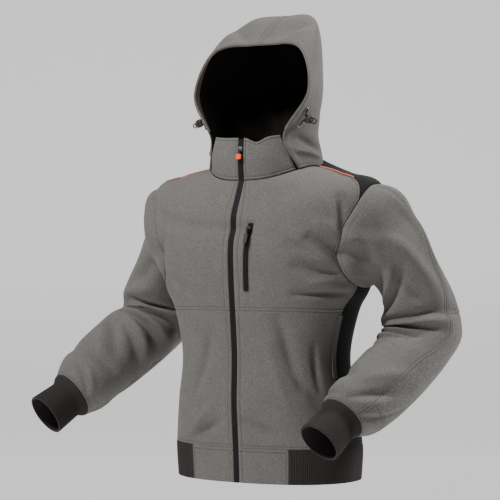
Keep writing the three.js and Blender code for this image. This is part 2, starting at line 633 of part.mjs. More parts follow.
function sleeveSurface(half, rows, folds) {
  const plain = {
    side: 1,
    at(angle, level) {
      const step = (angle / FULL_TURN) * ARMHOLE_STEPS;
      const [bodyAngle, bodyLevel] = armholePlace(((step % ARMHOLE_STEPS) + ARMHOLE_STEPS) % ARMHOLE_STEPS);
      const start = half.body.at(bodyAngle, bodyLevel);
      start.x += SEAM_GAP;
      const turn = radians(angle);
      const points = [start, ...rows.map((row) => sectionPoint(row, turn))];
      const share = (1 + Math.cos(turn)) / 2;
      const setOff = mix(CAP_UNDER, CAP_RISE, share) + (CAP_SIDE - (CAP_UNDER + CAP_RISE) / 2) * Math.sin(turn) ** 2;
      const beyond = points[1].clone().sub(new THREE.Vector3(2 * setOff, 0, 0));
      return pointBetween(points, level, beyond);
    },
  };
  return {
    side: 1,
    at(angle, level) {
      const height = foldHeight(folds, angle, level, MM_PER_SLEEVE_DEGREE, MM_PER_SLEEVE_SECTION);
      const point = plain.at(angle, level);
      const fade = THREE.MathUtils.smoothstep(level, 0, 0.7);
      return Math.abs(height) < 0.01 ? point
        : point.addScaledVector(normalOn(plain, angle, level), height * fade);
    },
  };
}

// Grid of a sleeve: columns every 15 degrees, with the elbow panel's own edges moved
// onto the nearest columns and rows
const SLEEVE_ROWS_PER_SECTION = 2;
const SLEEVE_ROWS = SLEEVE_SECTIONS * SLEEVE_ROWS_PER_SECTION;
const SLEEVE_COLUMN = FULL_TURN / ARMHOLE_STEPS;
const ELBOW_FIRST = Math.round(ELBOW_PANEL.from / SLEEVE_COLUMN) + ARMHOLE_STEPS;
const ELBOW_LAST = Math.round(ELBOW_PANEL.to / SLEEVE_COLUMN) + ARMHOLE_STEPS;
const ELBOW_TOP_ROW = Math.round(ELBOW_PANEL.top * SLEEVE_ROWS_PER_SECTION);
const ELBOW_BOTTOM_ROW = Math.round(ELBOW_PANEL.bottom * SLEEVE_ROWS_PER_SECTION);

function placeOn(surface, angle, level, lift = 0) {
  const out = normalOn(surface, angle, level);
  return { point: surface.at(angle, level).addScaledVector(out, lift), out };
}

function addSleeve(half, rows, folds) {
  const surface = sleeveSurface(half, rows, folds);
  const lastLevel = SLEEVE_SECTIONS - SEAM_GAP / MM_PER_SLEEVE_SECTION;
  const levelOf = (j) => Math.min(j / SLEEVE_ROWS_PER_SECTION, lastLevel);
  const gapAngle = (1.2 * SEAM_GAP) / MM_PER_SLEEVE_DEGREE;
  const gapLevel = SEAM_GAP / MM_PER_SLEEVE_SECTION;
  const inset = (index, count, value, gap) => {
    if (index === 0) return value + gap;
    return index === count ? value - gap : value;
  };
  // Each piece is a block of the grid, set in a little where it meets the next piece
  const addBlock = (name, [firstColumn, lastColumn], [firstRow, lastRow], finish) => {
    const columns = lastColumn - firstColumn;
    const blockRows = lastRow - firstRow;
    const wall = clothWall({
      columns, rows: blockRows, thickness: SHELL_THICKNESS,
      placeAt: (i, j) => {
        const angle = inset(i, columns, (firstColumn + i) * SLEEVE_COLUMN, gapAngle);
        const row = firstRow + j;
        const atEnd = row === 0 || row === SLEEVE_ROWS;
        const level = atEnd ? levelOf(row) : inset(j, blockRows, levelOf(row), gapLevel);
        const place = placeOn(surface, angle, level);
        if (row === 0) {
          place.out = normalOn(half.body, ...armholePlace((angle / SLEEVE_COLUMN) % ARMHOLE_STEPS));
        }
        return place;
      },
    });
    addPiece(`${name}_${half.name}`, half.turn(wall), finish);
  };
  addBlock('sleeve_front', [ELBOW_LAST - ARMHOLE_STEPS, ELBOW_FIRST], [0, SLEEVE_ROWS], 'shell');
  addBlock('sleeve_back', [ELBOW_FIRST, ELBOW_LAST], [0, ELBOW_TOP_ROW], 'shell');
  addBlock('elbow_panel', [ELBOW_FIRST, ELBOW_LAST], [ELBOW_TOP_ROW, ELBOW_BOTTOM_ROW], 'elbow');
  addBlock('sleeve_wrist', [ELBOW_FIRST, ELBOW_LAST], [ELBOW_BOTTOM_ROW, SLEEVE_ROWS], 'shell');

  // The rib cuff is drawn in at once below its seam and opens a little at the mouth
  const seam = rows.at(-1);
  const aim = new THREE.Vector3(seam.aimX, seam.aimY, seam.aimZ).normalize();
  const cuffRows = 4;
  const cuffSurface = {
    side: 1,
    at(angle, along) {
      const radius = along < 1
        ? mix(seam.out, CUFF_WAIST_RADIUS, THREE.MathUtils.smoothstep(along, 0, 1))
        : mix(CUFF_WAIST_RADIUS, CUFF_MOUTH_RADIUS, (along - 1) / (cuffRows - 1));
      const reach = SEAM_GAP + (along / cuffRows) * CUFF_LENGTH;
      const row = { ...seam, out: radius, inn: radius, deep: radius * (seam.deep / seam.out) };
      return sectionPoint(row, radians(angle)).addScaledVector(aim, reach);
    },
  };
  const cuff = clothWall({
    columns: ARMHOLE_STEPS, rows: cuffRows, round: true, thickness: RIB_THICKNESS,
    placeAt: (i, j) => placeOn(cuffSurface, i * SLEEVE_COLUMN, j),
  });
  addPiece(`cuff_${half.name}`, half.turn(cuff), 'rib');
}
addSleeve(SIDES[0], [...LEFT_UPPER_ARM, ...LEFT_FOREARM], LEFT_SLEEVE_FOLDS);
addSleeve(SIDES[1], [...RIGHT_UPPER_ARM, ...RIGHT_FOREARM], RIGHT_SLEEVE_FOLDS);

// Hood: an arch from the centre seam down one side to the neck seam. Its foot laps over
// the collar's end.
const hood = {
  side: -1,
  at(along, down) {
    const value = (column) => columnAt(HOOD_ARCHES, column, along);
    const foot = movedOut(collar, value('foot'), 0.02, LAP_LIFT);
    const top = new THREE.Vector3(0, value('topY'), value('topZ'));
    const wide = new THREE.Vector3(value('wideX'), value('wideY'), value('wideZ'));
    const shoulder = new THREE.Vector3(
      wide.x * HOOD_SHOULDER.out,
      mix(top.y, wide.y, HOOD_SHOULDER.forward),
      mix(top.z, wide.z, HOOD_SHOULDER.down),
    );
    const waist = new THREE.Vector3(value('waistX'), value('waistY'), value('waistZ'));
    const beyond = new THREE.Vector3(-shoulder.x, shoulder.y, shoulder.z);
    return pointBetween([top, shoulder, wide, waist, foot], down, beyond);
  },
};
const HOOD_FEET = 4;
const HOOD_COLUMNS = 10;
const HOOD_ROWS = 14;
const hoodHalf = clothWall({
  columns: HOOD_COLUMNS, rows: HOOD_ROWS, thickness: SHELL_THICKNESS,
  placeAt: (i, j) => {
    const place = placeOn(hood, (i / HOOD_COLUMNS) * HOOD_BACK, (j / HOOD_ROWS) * HOOD_FEET);
    if (j === 0) {
      place.point.x = SEAM_GAP / 2;
      place.out.setX(0).normalize();
    }
    return place;
  },
});
addPair('hood', hoodHalf, 'shell');

// The satin facing lines the hood's face edge on the inside
const FACING_ROWS = 10;
const FACING_GAP = 0.7;
const facingHalf = clothWall({
  columns: 1, rows: FACING_ROWS, thickness: FACING_THICKNESS,
  placeAt: (i, j) => {
    const place = placeOn(hood, i * FACING_DEPTH, (j / HOOD_ROWS) * HOOD_FEET, -SHELL_THICKNESS - FACING_GAP);
    if (j === 0) {
      place.point.x = SEAM_GAP / 2;
      place.out.setX(0).normalize();
    }
    return place;
  },
});
addPair('hood_facing', facingHalf, 'facing');

// The front zip fills the space between the fronts and the collar's ends
const ZIP_BODY_ROWS = 26;
const ZIP_COLLAR_ROWS = 5;
const ZIP_COLLAR_TOP = 1.93;
const ZIP_SINK = 0.3;
const frontZip = clothWall({
  columns: 2, rows: ZIP_BODY_ROWS + ZIP_COLLAR_ROWS, thickness: ZIP_THICKNESS,
  placeAt: (i, j) => {
    const x = (i - 1) * ZIP_HALF_WIDTH;
    const ridge = i === 1 ? 0.9 : 0;
    if (j <= ZIP_BODY_ROWS) {
      const level = (j / ZIP_BODY_ROWS) * NECK;
      return placeOn(body, angleForX(BODY_RINGS, x, level), level, ridge - ZIP_SINK);
    }
    const level = ((j - ZIP_BODY_ROWS) / ZIP_COLLAR_ROWS) * ZIP_COLLAR_TOP;
    return placeOn(collar, angleForX(COLLAR_RINGS, x, level), level, ridge - ZIP_SINK);
  },
});
addPiece('front_zip', frontZip, 'zip');

// The chest pocket's zip lies on the wearer's left front, a little tilted at the top
const CHEST_ZIP = { bottomX: 36, topX: 43, bottom: 4.66, top: 6.78, halfWidth: 5.4, rows: 8 };
function chestZipPlace(across, part, lift) {
  const level = mix(CHEST_ZIP.bottom, CHEST_ZIP.top, part);
  const x = mix(CHEST_ZIP.bottomX, CHEST_ZIP.topX, part ** 2.5) + across * CHEST_ZIP.halfWidth;
  return placeOn(body, angleForX(BODY_RINGS, x, level), level, lift);
}
const chestZip = clothWall({
  columns: 1, rows: CHEST_ZIP.rows, thickness: ZIP_THICKNESS,
  placeAt: (i, j) => chestZipPlace(2 * i - 1, j / CHEST_ZIP.rows, ZIP_THICKNESS + SEAM_GAP),
});
addPiece('chest_zip', chestZip, 'zip');

// Piping in the seam between front and yoke, a thin cord of six sides on the cloth
const PIPING_STEPS = 10;
const PIPING_SIDES = 6;
function pipingGeometry(surface) {
  const seam = line([YOKE_FRONT_NECK, NECK], FRONT_YOKE_CORNER);
  const places = Array.from({ length: PIPING_STEPS + 1 }, (_, k) => {
    const [angle, level] = seam(mix(0.03, 0.7, k / PIPING_STEPS));
    return movedOut(surface, angle, level, PIPING_RADIUS + 2 * SEAM_GAP);
  });
  return tubeAlong(places, PIPING_RADIUS, PIPING_SIDES, PIPING_STEPS * 2);
}

function tubeAlong(places, radius, sides, steps) {
  const section = new THREE.Shape();
  for (let k = 0; k <= sides; k += 1) {
    const turn = (k / sides) * 2 * Math.PI;
    const way = k === 0 ? 'moveTo' : 'lineTo';
    section[way](radius * Math.cos(turn), radius * Math.sin(turn));
  }
  const path = new THREE.CatmullRomCurve3(places, false, 'centripetal');
  return new THREE.ExtrudeGeometry(section, { steps, bevelEnabled: false, extrudePath: path });
}
for (const half of SIDES) {
  const seamPiping = pipingGeometry(half.body);
  addPiece(`piping_${half.name}`, half.name === 'left' ? seamPiping : mirroredSoup(seamPiping), 'piping');
}

function mirroredSoup(geometry) {
  const copy = geometry.clone();
  copy.scale(-1, 1, 1);
  const positions = copy.attributes.position.array;
  for (let k = 0; k < positions.length; k += 9) {
    for (let axis = 0; axis < 3; axis += 1) {
      const kept = positions[k + axis];
      positions[k + axis] = positions[k + 3 + axis];
      positions[k + 3 + axis] = kept;
    }
  }
  copy.deleteAttribute('normal');
  copy.computeVertexNormals();
  return copy;
}

// Solids joined into one closed body
function solidOf(geometry) {
  const bare = geometry.toNonIndexed();
  bare.deleteAttribute('normal');
  bare.deleteAttribute('uv');
  const merged = BufferGeometryUtils.mergeVertices(bare, 1e-4);
  return new wasm.Manifold(new wasm.Mesh({
    numProp: 3,
    vertProperties: merged.attributes.position.array,
    triVerts: Uint32Array.from(merged.index.array),
  }));
}

function joined(...geometries) {
  const mesh = geometries.map(solidOf).reduce((whole, piece) => whole.add(piece)).getMesh();
  return closedGeometry([...mesh.vertProperties], [...mesh.triVerts]);
}

// The frame of a trim that lies on the cloth: X across, Y up along the cloth, Z out
function trimFrame(surface, angle, level, lift) {
  const origin = movedOut(surface, angle, level, lift);
  const out = normalOn(surface, angle, level);
  const up = surface.at(angle, level + 0.05).sub(surface.at(angle, level - 0.05)).normalize();
  const across = up.clone().cross(out).normalize();
  up.copy(out).cross(across);
  return new THREE.Matrix4().makeBasis(across, up, out).setPosition(origin);
}

function roundedOutline(width, height, radius) {
  const [x, y] = [width / 2, height / 2];
  const shape = new THREE.Shape();
  shape.moveTo(-x + radius, -y);
  shape.lineTo(x - radius, -y);
  shape.absarc(x - radius, -y + radius, radius, -Math.PI / 2, 0);
  shape.lineTo(x, y - radius);
  shape.absarc(x - radius, y - radius, radius, 0, Math.PI / 2);
  shape.lineTo(-x + radius, y);
  shape.absarc(-x + radius, y - radius, radius, Math.PI / 2, Math.PI);
  shape.lineTo(-x, -y + radius);
  shape.absarc(-x + radius, -y + radius, radius, Math.PI, 1.5 * Math.PI);
  return shape;
}
const CORNER_STEPS = 3;

// A slider plate with two lugs that hold the pull's pin
function sliderGeometry() {
  const plate = new THREE.ExtrudeGeometry(
    roundedOutline(SLIDER_WIDTH, SLIDER_LENGTH, 3),
    { depth: SLIDER_HEIGHT, bevelEnabled: false, curveSegments: CORNER_STEPS });
  const lugHeight = PIN_HEIGHT + PIN_RADIUS + 0.6 - SLIDER_HEIGHT / 2;
  const lugs = [-1, 1].map((way) => new THREE.BoxGeometry(LUG_WIDTH, 2.6 * PIN_RADIUS, lugHeight)
    .translate((way * (LUG_SPACING + LUG_WIDTH)) / 2, 0, SLIDER_HEIGHT / 2 + lugHeight / 2));
  const pin = new THREE.CylinderGeometry(PIN_RADIUS, PIN_RADIUS, LUG_SPACING + LUG_WIDTH, 12)
    .rotateZ(Math.PI / 2).translate(0, 0, PIN_HEIGHT);
  return joined(plate, ...lugs, pin);
}

// A link: a ring round the pin and a flat bar that hangs from it, as one side profile
function linkGeometry(length) {
  const half = PULL_THICKNESS / 2;
  const leave = Math.asin(half / PULL_RING_OUTER);
  const profile = new THREE.Shape();
  profile.absarc(0, 0, PULL_RING_OUTER, -Math.PI / 2 + leave, 1.5 * Math.PI - leave);
  profile.lineTo(-half, -length);
  profile.lineTo(half, -length);
  const eye = new THREE.Path();
  eye.absarc(0, 0, PULL_RING_INNER, 0, 2 * Math.PI, true);
  profile.holes.push(eye);
  const width = LUG_SPACING - 0.7;
  return new THREE.ExtrudeGeometry(profile, { depth: width, bevelEnabled: false, curveSegments: 10 })
    .translate(0, 0, -width / 2).rotateY(Math.PI / 2).translate(0, 0, PIN_HEIGHT);
}

// A flat tab below the link
function tabGeometry(width, top, length, thickness) {
  return new THREE.ExtrudeGeometry(roundedOutline(width, length, 2.4),
    { depth: thickness, bevelEnabled: false, curveSegments: CORNER_STEPS })
    .translate(0, -top - length / 2, PIN_HEIGHT - thickness / 2);
}

const FRONT_SLIDER_LEVEL = 1.44;
const CHEST_SLIDER_PART = 0.9;
const FRONT_LINK = 9.5;
const FRONT_TAB = { width: 12, length: 11, thickness: 3 };
const CHEST_LINK = 9;
const CHEST_TAB = { width: 8, length: 21, thickness: 2.4 };
const SLIDER_LIFT = 1.1;

const frontFrame = trimFrame(collar, 0.01, FRONT_SLIDER_LEVEL, SLIDER_LIFT);
addPiece('front_slider', sliderGeometry().applyMatrix4(frontFrame), 'metal');
addPiece('front_pull', linkGeometry(FRONT_LINK).applyMatrix4(frontFrame), 'zip');
addPiece('front_pull_tab', tabGeometry(FRONT_TAB.width, FRONT_LINK + SEAM_GAP, FRONT_TAB.length,
  FRONT_TAB.thickness).applyMatrix4(frontFrame), 'tab');

const chestPart = CHEST_SLIDER_PART;
const chestLevel = mix(CHEST_ZIP.bottom, CHEST_ZIP.top, chestPart);
const chestX = mix(CHEST_ZIP.bottomX, CHEST_ZIP.topX, chestPart ** 2.5);
const chestFrame = trimFrame(body, angleForX(BODY_RINGS, chestX, chestLevel), chestLevel,
  ZIP_THICKNESS + 3 * SEAM_GAP);
addPiece('chest_slider', sliderGeometry().applyMatrix4(chestFrame), 'zip');
addPiece('chest_pull', linkGeometry(CHEST_LINK).applyMatrix4(chestFrame), 'zip');
addPiece('chest_pull_tab', tabGeometry(CHEST_TAB.width, CHEST_LINK + SEAM_GAP, CHEST_TAB.length,
  CHEST_TAB.thickness).applyMatrix4(chestFrame), 'zip');

// Hood drawcords on the left side: two eyelets, a cord lock and the looped cord
const EYELET = { inner: 1.9, outer: 4.4, height: 1.2, along: 0.62, upper: 2.42, lower: 2.76 };
const eyeletProfile = [
  [EYELET.inner, 0], [EYELET.outer, 0], [EYELET.outer, EYELET.height], [EYELET.inner, EYELET.height],
  [EYELET.inner, 0],
].map(([x, y]) => new THREE.Vector2(x, y));
const eyeletAt = (down) => {
  const out = normalOn(hood, EYELET.along, down);
  const turn = new THREE.Quaternion().setFromUnitVectors(new THREE.Vector3(0, 1, 0), out);
  const middle = movedOut(hood, EYELET.along, down, 2 * SEAM_GAP);
  const ring = new THREE.LatheGeometry(eyeletProfile, 16).applyQuaternion(turn)
    .translate(middle.x, middle.y, middle.z);
  return { middle, out, ring };
};
const eyelets = { upper: eyeletAt(EYELET.upper), lower: eyeletAt(EYELET.lower) };
const cordMiddle = eyelets.upper.middle.clone().add(eyelets.lower.middle).multiplyScalar(0.5);
const cordWay = new THREE.Vector3(0.93, 0.12, -0.34).normalize();
const cordUp = eyelets.upper.middle.clone().sub(eyelets.lower.middle);
cordUp.addScaledVector(cordWay, -cordUp.dot(cordWay)).normalize();
const cordDepth = cordWay.clone().cross(cordUp);
const lockFrame = new THREE.Matrix4().makeBasis(cordUp, cordDepth, cordWay)
  .setPosition(cordMiddle.clone().addScaledVector(cordWay, LOCK_START));
const lockOutline = roundedOutline(LOCK_WIDTH, LOCK_DEPTH, 3);
const slot = roundedOutline(CORD_SPACING + CORD_DIAMETER + 2, CORD_DIAMETER + 2, 2);
lockOutline.holes.push(new THREE.Path(slot.getPoints(CORNER_STEPS)));
const lock = new THREE.ExtrudeGeometry(lockOutline,
  { depth: LOCK_LENGTH, bevelEnabled: false, curveSegments: CORNER_STEPS }).applyMatrix4(lockFrame);

const cordAt = (up, away) => cordMiddle.clone()
  .addScaledVector(cordUp, up).addScaledVector(cordWay, away);
const strand = CORD_SPACING / 2;
const loopTurn = (degrees) => cordAt(strand * Math.cos(radians(degrees)),
  CORD_REACH + strand * Math.sin(radians(degrees)));
const eyeletExit = (eyelet) => [0.3, 3].map((away) => eyelet.middle.clone()
  .addScaledVector(eyelet.out, away));
const cordPlaces = [
  ...eyeletExit(eyelets.upper),
  cordAt(strand, LOCK_START - 2), cordAt(strand, LOCK_START + LOCK_LENGTH), cordAt(strand, CORD_REACH),
  ...[30, 60, 90, 120, 150].map(loopTurn),
  cordAt(-strand, CORD_REACH), cordAt(-strand, LOCK_START + LOCK_LENGTH), cordAt(-strand, LOCK_START - 2),
  ...eyeletExit(eyelets.lower).reverse(),
];
const CORD_SIDES = 8;
const CORD_STEPS = 30;
const drawcord = tubeAlong(cordPlaces, CORD_DIAMETER / 2, CORD_SIDES, CORD_STEPS);

const trims = { drawcord, cord_lock: lock, eyelet_upper: eyelets.upper.ring, eyelet_lower: eyelets.lower.ring };
for (const [name, geometry] of Object.entries(trims)) {
  const soup = geometry.index ? geometry.toNonIndexed() : geometry;
  const finish = name.startsWith('eyelet') ? 'metal' : 'cord';
  addPiece(`${name}_left`, soup, finish);
  addPiece(`${name}_right`, mirroredSoup(soup), finish);
}

export default jacket;
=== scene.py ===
"""Softshell jacket with its hood up, filled out as worn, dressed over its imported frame.

The tables below are in millimetres and hold the cut of the jacket. +Z is up, the front
faces -Y and the wearer's left is +X. A surface is a function of an angle round the
piece and a level along it.
"""
import json
import math

import bpy
import numpy as np
from mathutils import Matrix, Vector

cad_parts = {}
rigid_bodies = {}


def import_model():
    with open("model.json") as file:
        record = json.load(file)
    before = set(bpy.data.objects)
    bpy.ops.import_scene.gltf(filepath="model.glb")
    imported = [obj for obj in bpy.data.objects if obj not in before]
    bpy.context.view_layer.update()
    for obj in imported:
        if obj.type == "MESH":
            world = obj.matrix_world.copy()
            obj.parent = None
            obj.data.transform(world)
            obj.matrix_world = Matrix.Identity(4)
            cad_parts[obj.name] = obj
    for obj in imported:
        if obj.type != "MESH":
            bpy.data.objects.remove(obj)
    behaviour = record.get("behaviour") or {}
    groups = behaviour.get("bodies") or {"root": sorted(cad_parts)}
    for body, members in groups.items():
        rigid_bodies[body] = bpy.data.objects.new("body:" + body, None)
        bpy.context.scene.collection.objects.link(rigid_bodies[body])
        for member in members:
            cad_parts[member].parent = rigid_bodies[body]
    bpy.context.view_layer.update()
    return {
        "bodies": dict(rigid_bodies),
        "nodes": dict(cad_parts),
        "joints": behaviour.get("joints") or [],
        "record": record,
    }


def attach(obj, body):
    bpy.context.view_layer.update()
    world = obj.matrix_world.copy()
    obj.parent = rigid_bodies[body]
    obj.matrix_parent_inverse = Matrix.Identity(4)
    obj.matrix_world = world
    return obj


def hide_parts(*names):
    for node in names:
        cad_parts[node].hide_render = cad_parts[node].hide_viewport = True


bl_info = {
    "name": "Softshell Jacket",
    "version": (1, 0, 0),
    "blender": (4, 5, 0),
    "location": "View3D > Sidebar > Jacket",
    "description": "Makes the cloth, trims and finishes of a hooded softshell jacket",
    "category": "Object",
}

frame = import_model()
BODY = "jacket"
MM = 0.001

# Cloth sizes
SHELL_THICKNESS = 2.2
RIB_THICKNESS = 2.8
FACING_THICKNESS = 1.4
SEAM_GAP = 0.34
LAP_LIFT = 4.4
NAPE_DROP = 4
FRONT_EDGE_X = 6.6
PIPING_RADIUS = 1.1
WELT_THICKNESS = 1.6
WELT_LIFT = 2.9

# Levels of the body rings and places round the body in degrees
HEM = 0
HEM_SEAM = 1
POCKET_BOTTOM = 2.55
POCKET_TOP = 3.92
FRONT_SEAM = 4
NECK = 9
HEM_RIB_START = 31
SIDE_FRONT = 79
SIDE_BACK = 117
YOKE_FRONT_NECK = 88
COLLAR_END_BASE = 60
COLLAR_END_TOP = 43.5
COLLAR_TOP = 2
COLLAR_DIP = 0.24
COLLAR_DIP_ANGLE = 17
COLLAR_DIP_SPREAD = 9
WELT_FRONT = SIDE_FRONT - 4.5
WELT_BACK = SIDE_FRONT + 0.6


def table(columns, *rows):
    """A table with named columns, as one array for each name."""
    return {name: np.array(values, float) for name, values in zip(columns.split(), zip(*rows))}


BODY_RINGS = table(
    "front_z side_z back_z half_width front_y back_y square",
    (-708, -707, -705, 207, -130, 140, 2.3),
    (-635, -632, -632, 210, -134, 142, 2.3),
    (-540, -540, -540, 199, -141, 132, 2.3),
    (-445, -445, -445, 188, -139, 122, 2.3),
    (-348, -350, -352, 207, -147, 134, 2.3),
    (-285, -298, -287, 234, -153, 145, 2.3),
    (-218, -195, -217, 258, -155, 150, 2.3),
    (-152, -84, -118, 262, -143, 138, 2.4),
    (-111, -58, -50, 192, -126, 118, 2.3),
    (-75, -43, -5, 121, -111, 98, 2.1),
)
COLLAR_RINGS = table(
    "front_z side_z back_z half_width front_y back_y square",
    (-74.4, -42.4, -4.4, 120, -111, 97, 2.1),
    (-30, -6, 22, 119, -115, 97, 2.1),
    (15, 28, 46, 113, -112, 94, 2.1),
)
# The armhole, every 30 degrees from the shoulder tip over the front
ARMHOLE = table(
    "angle level",
    (91, 7.0), (77, 6.88), (64, 6.52), (58, 6.05), (61, 5.5), (74, 5.12),
    (93, 4.98), (111, 5.15), (121, 5.55), (124, 6.05), (119, 6.45), (106, 6.85),
)
ARMHOLE_STEPS = 24
FRONT_YOKE_STEP = 3
FRONT_SIDE_STEP = 11
BACK_SIDE_STEP = 13
BACK_YOKE_STEP = 20

SECTION = "x y z aim_x aim_y aim_z out inn deep"
LEFT_ARM = table(
    SECTION,
    (284, 40, -230, 0.84, 0.15, -0.52, 88, 78, 82),
    (303, 64, -290, 0.62, 0.25, -0.74, 79, 68, 80),
    (316, 82, -345, 0.25, 0.12, -0.92, 83, 80, 83),
    (321, 93, -394, 0.0, -0.16, -0.97, 85, 80, 84),
    (315, 63, -428, -0.15, -0.44, -0.88, 80, 74, 76),
    (306, 29, -455, -0.25, -0.66, -0.7, 77, 72, 74),
    (291, -13, -489, -0.27, -0.75, -0.6, 75, 69, 73),
    (272, -58, -523, -0.27, -0.75, -0.6, 72, 65, 71),
    (255, -95, -549, -0.27, -0.75, -0.6, 66, 61, 65),
    (243, -116, -563, -0.27, -0.75, -0.6, 51, 51, 50),
)
RIGHT_ARM = table(
    SECTION,
    (276, 42, -232, 0.85, 0.15, -0.5, 76, 72, 76),
    (299, 66, -284, 0.66, 0.15, -0.7, 84, 62, 80),
    (328, 82, -322, 0.25, 0.08, -0.92, 86, 80, 82),
    (333, 86, -364, 0.06, -0.2, -0.97, 90, 88, 82),
    (345, 60, -392, 0.16, -0.46, -0.86, 88, 84, 77),
    (361, 28, -418, 0.28, -0.66, -0.68, 83, 79, 77),
    (380, -14, -450, 0.36, -0.76, -0.53, 80, 76, 77),
    (401, -60, -485, 0.36, -0.76, -0.53, 76, 74, 74),
    (418, -97, -516, 0.36, -0.76, -0.53, 70, 69, 69),
    (430, -123, -541, 0.36, -0.76, -0.53, 54, 54, 53),
)
SLEEVE_SECTIONS = 10
FOREARM_OUTWARD = (1, 0, 0.25)
# The way to a section's outer side, for sections above a height
OUTWARD_WAYS = ((-250, (0.5, 0.15, 0.85)), (-300, (0.75, 0.1, 0.6)), (-math.inf, FOREARM_OUTWARD))
CAP_RISE = 190
CAP_SIDE = 120
CAP_UNDER = 30
CUFF_LENGTH = 78
CUFF_WAIST_RADIUS = 43
CUFF_MOUTH_RADIUS = 47
ELBOW_FROM = -150
ELBOW_TO = 15
ELBOW_TOP = 3.4
ELBOW_BOTTOM = 8.6

HOOD_ARCHES = table(
    "top_y top_z wide_x wide_y wide_z waist_x waist_y waist_z foot",
    (-34, 219, 143, -74, 110, 91, -90, 18, 62),
    (6, 254, 142, -42, 122, 113, -48, 20, 82),
    (48, 280, 133, 0, 130, 117, 2, 22, 100),
    (88, 288, 111, 44, 136, 105, 42, 26, 120),
    (112, 242, 80, 80, 122, 76, 78, 30, 142),
    (118, 130, 42, 108, 82, 44, 102, 34, 160),
    (103, 12, 0.6, 102, 8, 0.6, 101, 4, 180),
)
HOOD_BACK = 6
HOOD_FEET = 4
SHOULDER_OUT = 0.74
SHOULDER_FORWARD = 0.4
SHOULDER_DOWN = 0.12
FACING_DEPTH = 0.6
FACING_FOOT = 20 / 7


def mix(a, b, share):
    return a + (b - a) * share


def smooth_step(value, low, high):
    share = np.clip((value - low) / (high - low), 0, 1)
    return share * share * (3 - 2 * share)


def through_values(before, start, end, after, part):
    """A smooth curve through evenly spaced values."""
    rise = (end - before) / 2
    fall = (after - start) / 2
    a = 2 * (start - end) + rise + fall
    b = 3 * (end - start) - 2 * rise - fall
    return ((a * part + b) * part + rise) * part + start


def column_at(rows, name, place):
    values = rows[name]
    ends = np.concatenate(([2 * values[0] - values[1]], values, [2 * values[-1] - values[-2]]))
    place = np.asarray(place, float)
    index = np.clip(np.floor(place).astype(int), 0, len(values) - 2)
    return through_values(ends[index], ends[index + 1], ends[index + 2], ends[index + 3], place - index)


def points_between(points, place, before=None):
    """Points at a place along a curve through a list of point arrays."""
    first = 2 * points[0] - points[1] if before is None else before
    last = 2 * points[-1] - points[-2]
    chain = np.stack([first, *points, last])
    index = np.clip(np.floor(place).astype(int), 0, len(points) - 2)
    where = np.arange(len(place))
    part = (place - index)[:, None]
    return through_values(chain[index, where], chain[index + 1, where], chain[index + 2, where],
                          chain[index + 3, where], part)


def unit(vectors):
    return vectors / np.maximum(np.linalg.norm(vectors, axis=-1, keepdims=True), 1e-9)


def fold_height(folds, angle, level, mm_per_degree, mm_per_level):
    """Height of the folds at a place. A fold runs from one place to another, with a
    height (a trough is negative) and a half width."""
    height = np.zeros(len(angle))
    for start, start_level, end, end_level, rise, spread in folds:
        x = (((angle - start + 540) % 360) - 180) * mm_per_degree
        y = (level - start_level) * mm_per_level
        along_x = (end - start) * mm_per_degree
        along_y = (end_level - start_level) * mm_per_level
        length2 = along_x ** 2 + along_y ** 2
        part = np.clip((x * along_x + y * along_y) / length2, 0, 1)
        away2 = (x - part * along_x) ** 2 + (y - part * along_y) ** 2
        middle = 0.45 + 0.55 * np.sin(np.pi * part)
        height += rise * middle * np.exp(-away2 / (2 * spread ** 2))
    return height


def normal_on(surface, angle, level):
    step = 0.02
    across = surface(angle + 4 * step, level) - surface(angle - 4 * step, level)
    along = surface(angle, level + step) - surface(angle, level - step)
    return unit(np.cross(across, along)) * surface.side


def surface(side, at):
    at.side = side
    return at


def ring_point(rings, angle, level):
    turn = np.radians(angle)
    power = 2 / column_at(rings, "square", level)
    sine, cosine = np.sin(turn), np.cos(turn)
    front_y, back_y = column_at(rings, "front_y", level), column_at(rings, "back_y", level)
    end_z = np.where(cosine > 0, column_at(rings, "front_z", level), column_at(rings, "back_z", level))
    side_share = np.abs(sine) ** 2.5
    return np.stack([
        column_at(rings, "half_width", level) * np.sign(sine) * np.abs(sine) ** power,
        (front_y + back_y) / 2 - (back_y - front_y) / 2 * np.sign(cosine) * np.abs(cosine) ** power,
        mix(end_z, column_at(rings, "side_z", level), side_share),
    ], axis=-1)


def angle_for_x(rings, x, level):
    """The body angle at which a ring lies x to the wearer's left of its centre front."""
    share = np.abs(x) / column_at(rings, "half_width", level)
    turn = np.arcsin(share ** (column_at(rings, "square", level) / 2))
    return np.sign(x) * np.degrees(turn)


def folded(plain, folds, mm_per_degree, mm_per_level, fade):
    """A surface with folds and creases on it."""
    def at(angle, level):
        height = fold_height(folds, angle, level, mm_per_degree, mm_per_level)
        return plain(angle, level) + normal_on(plain, angle, level) * (height * fade(level))[:, None]
    return surface(plain.side, at)


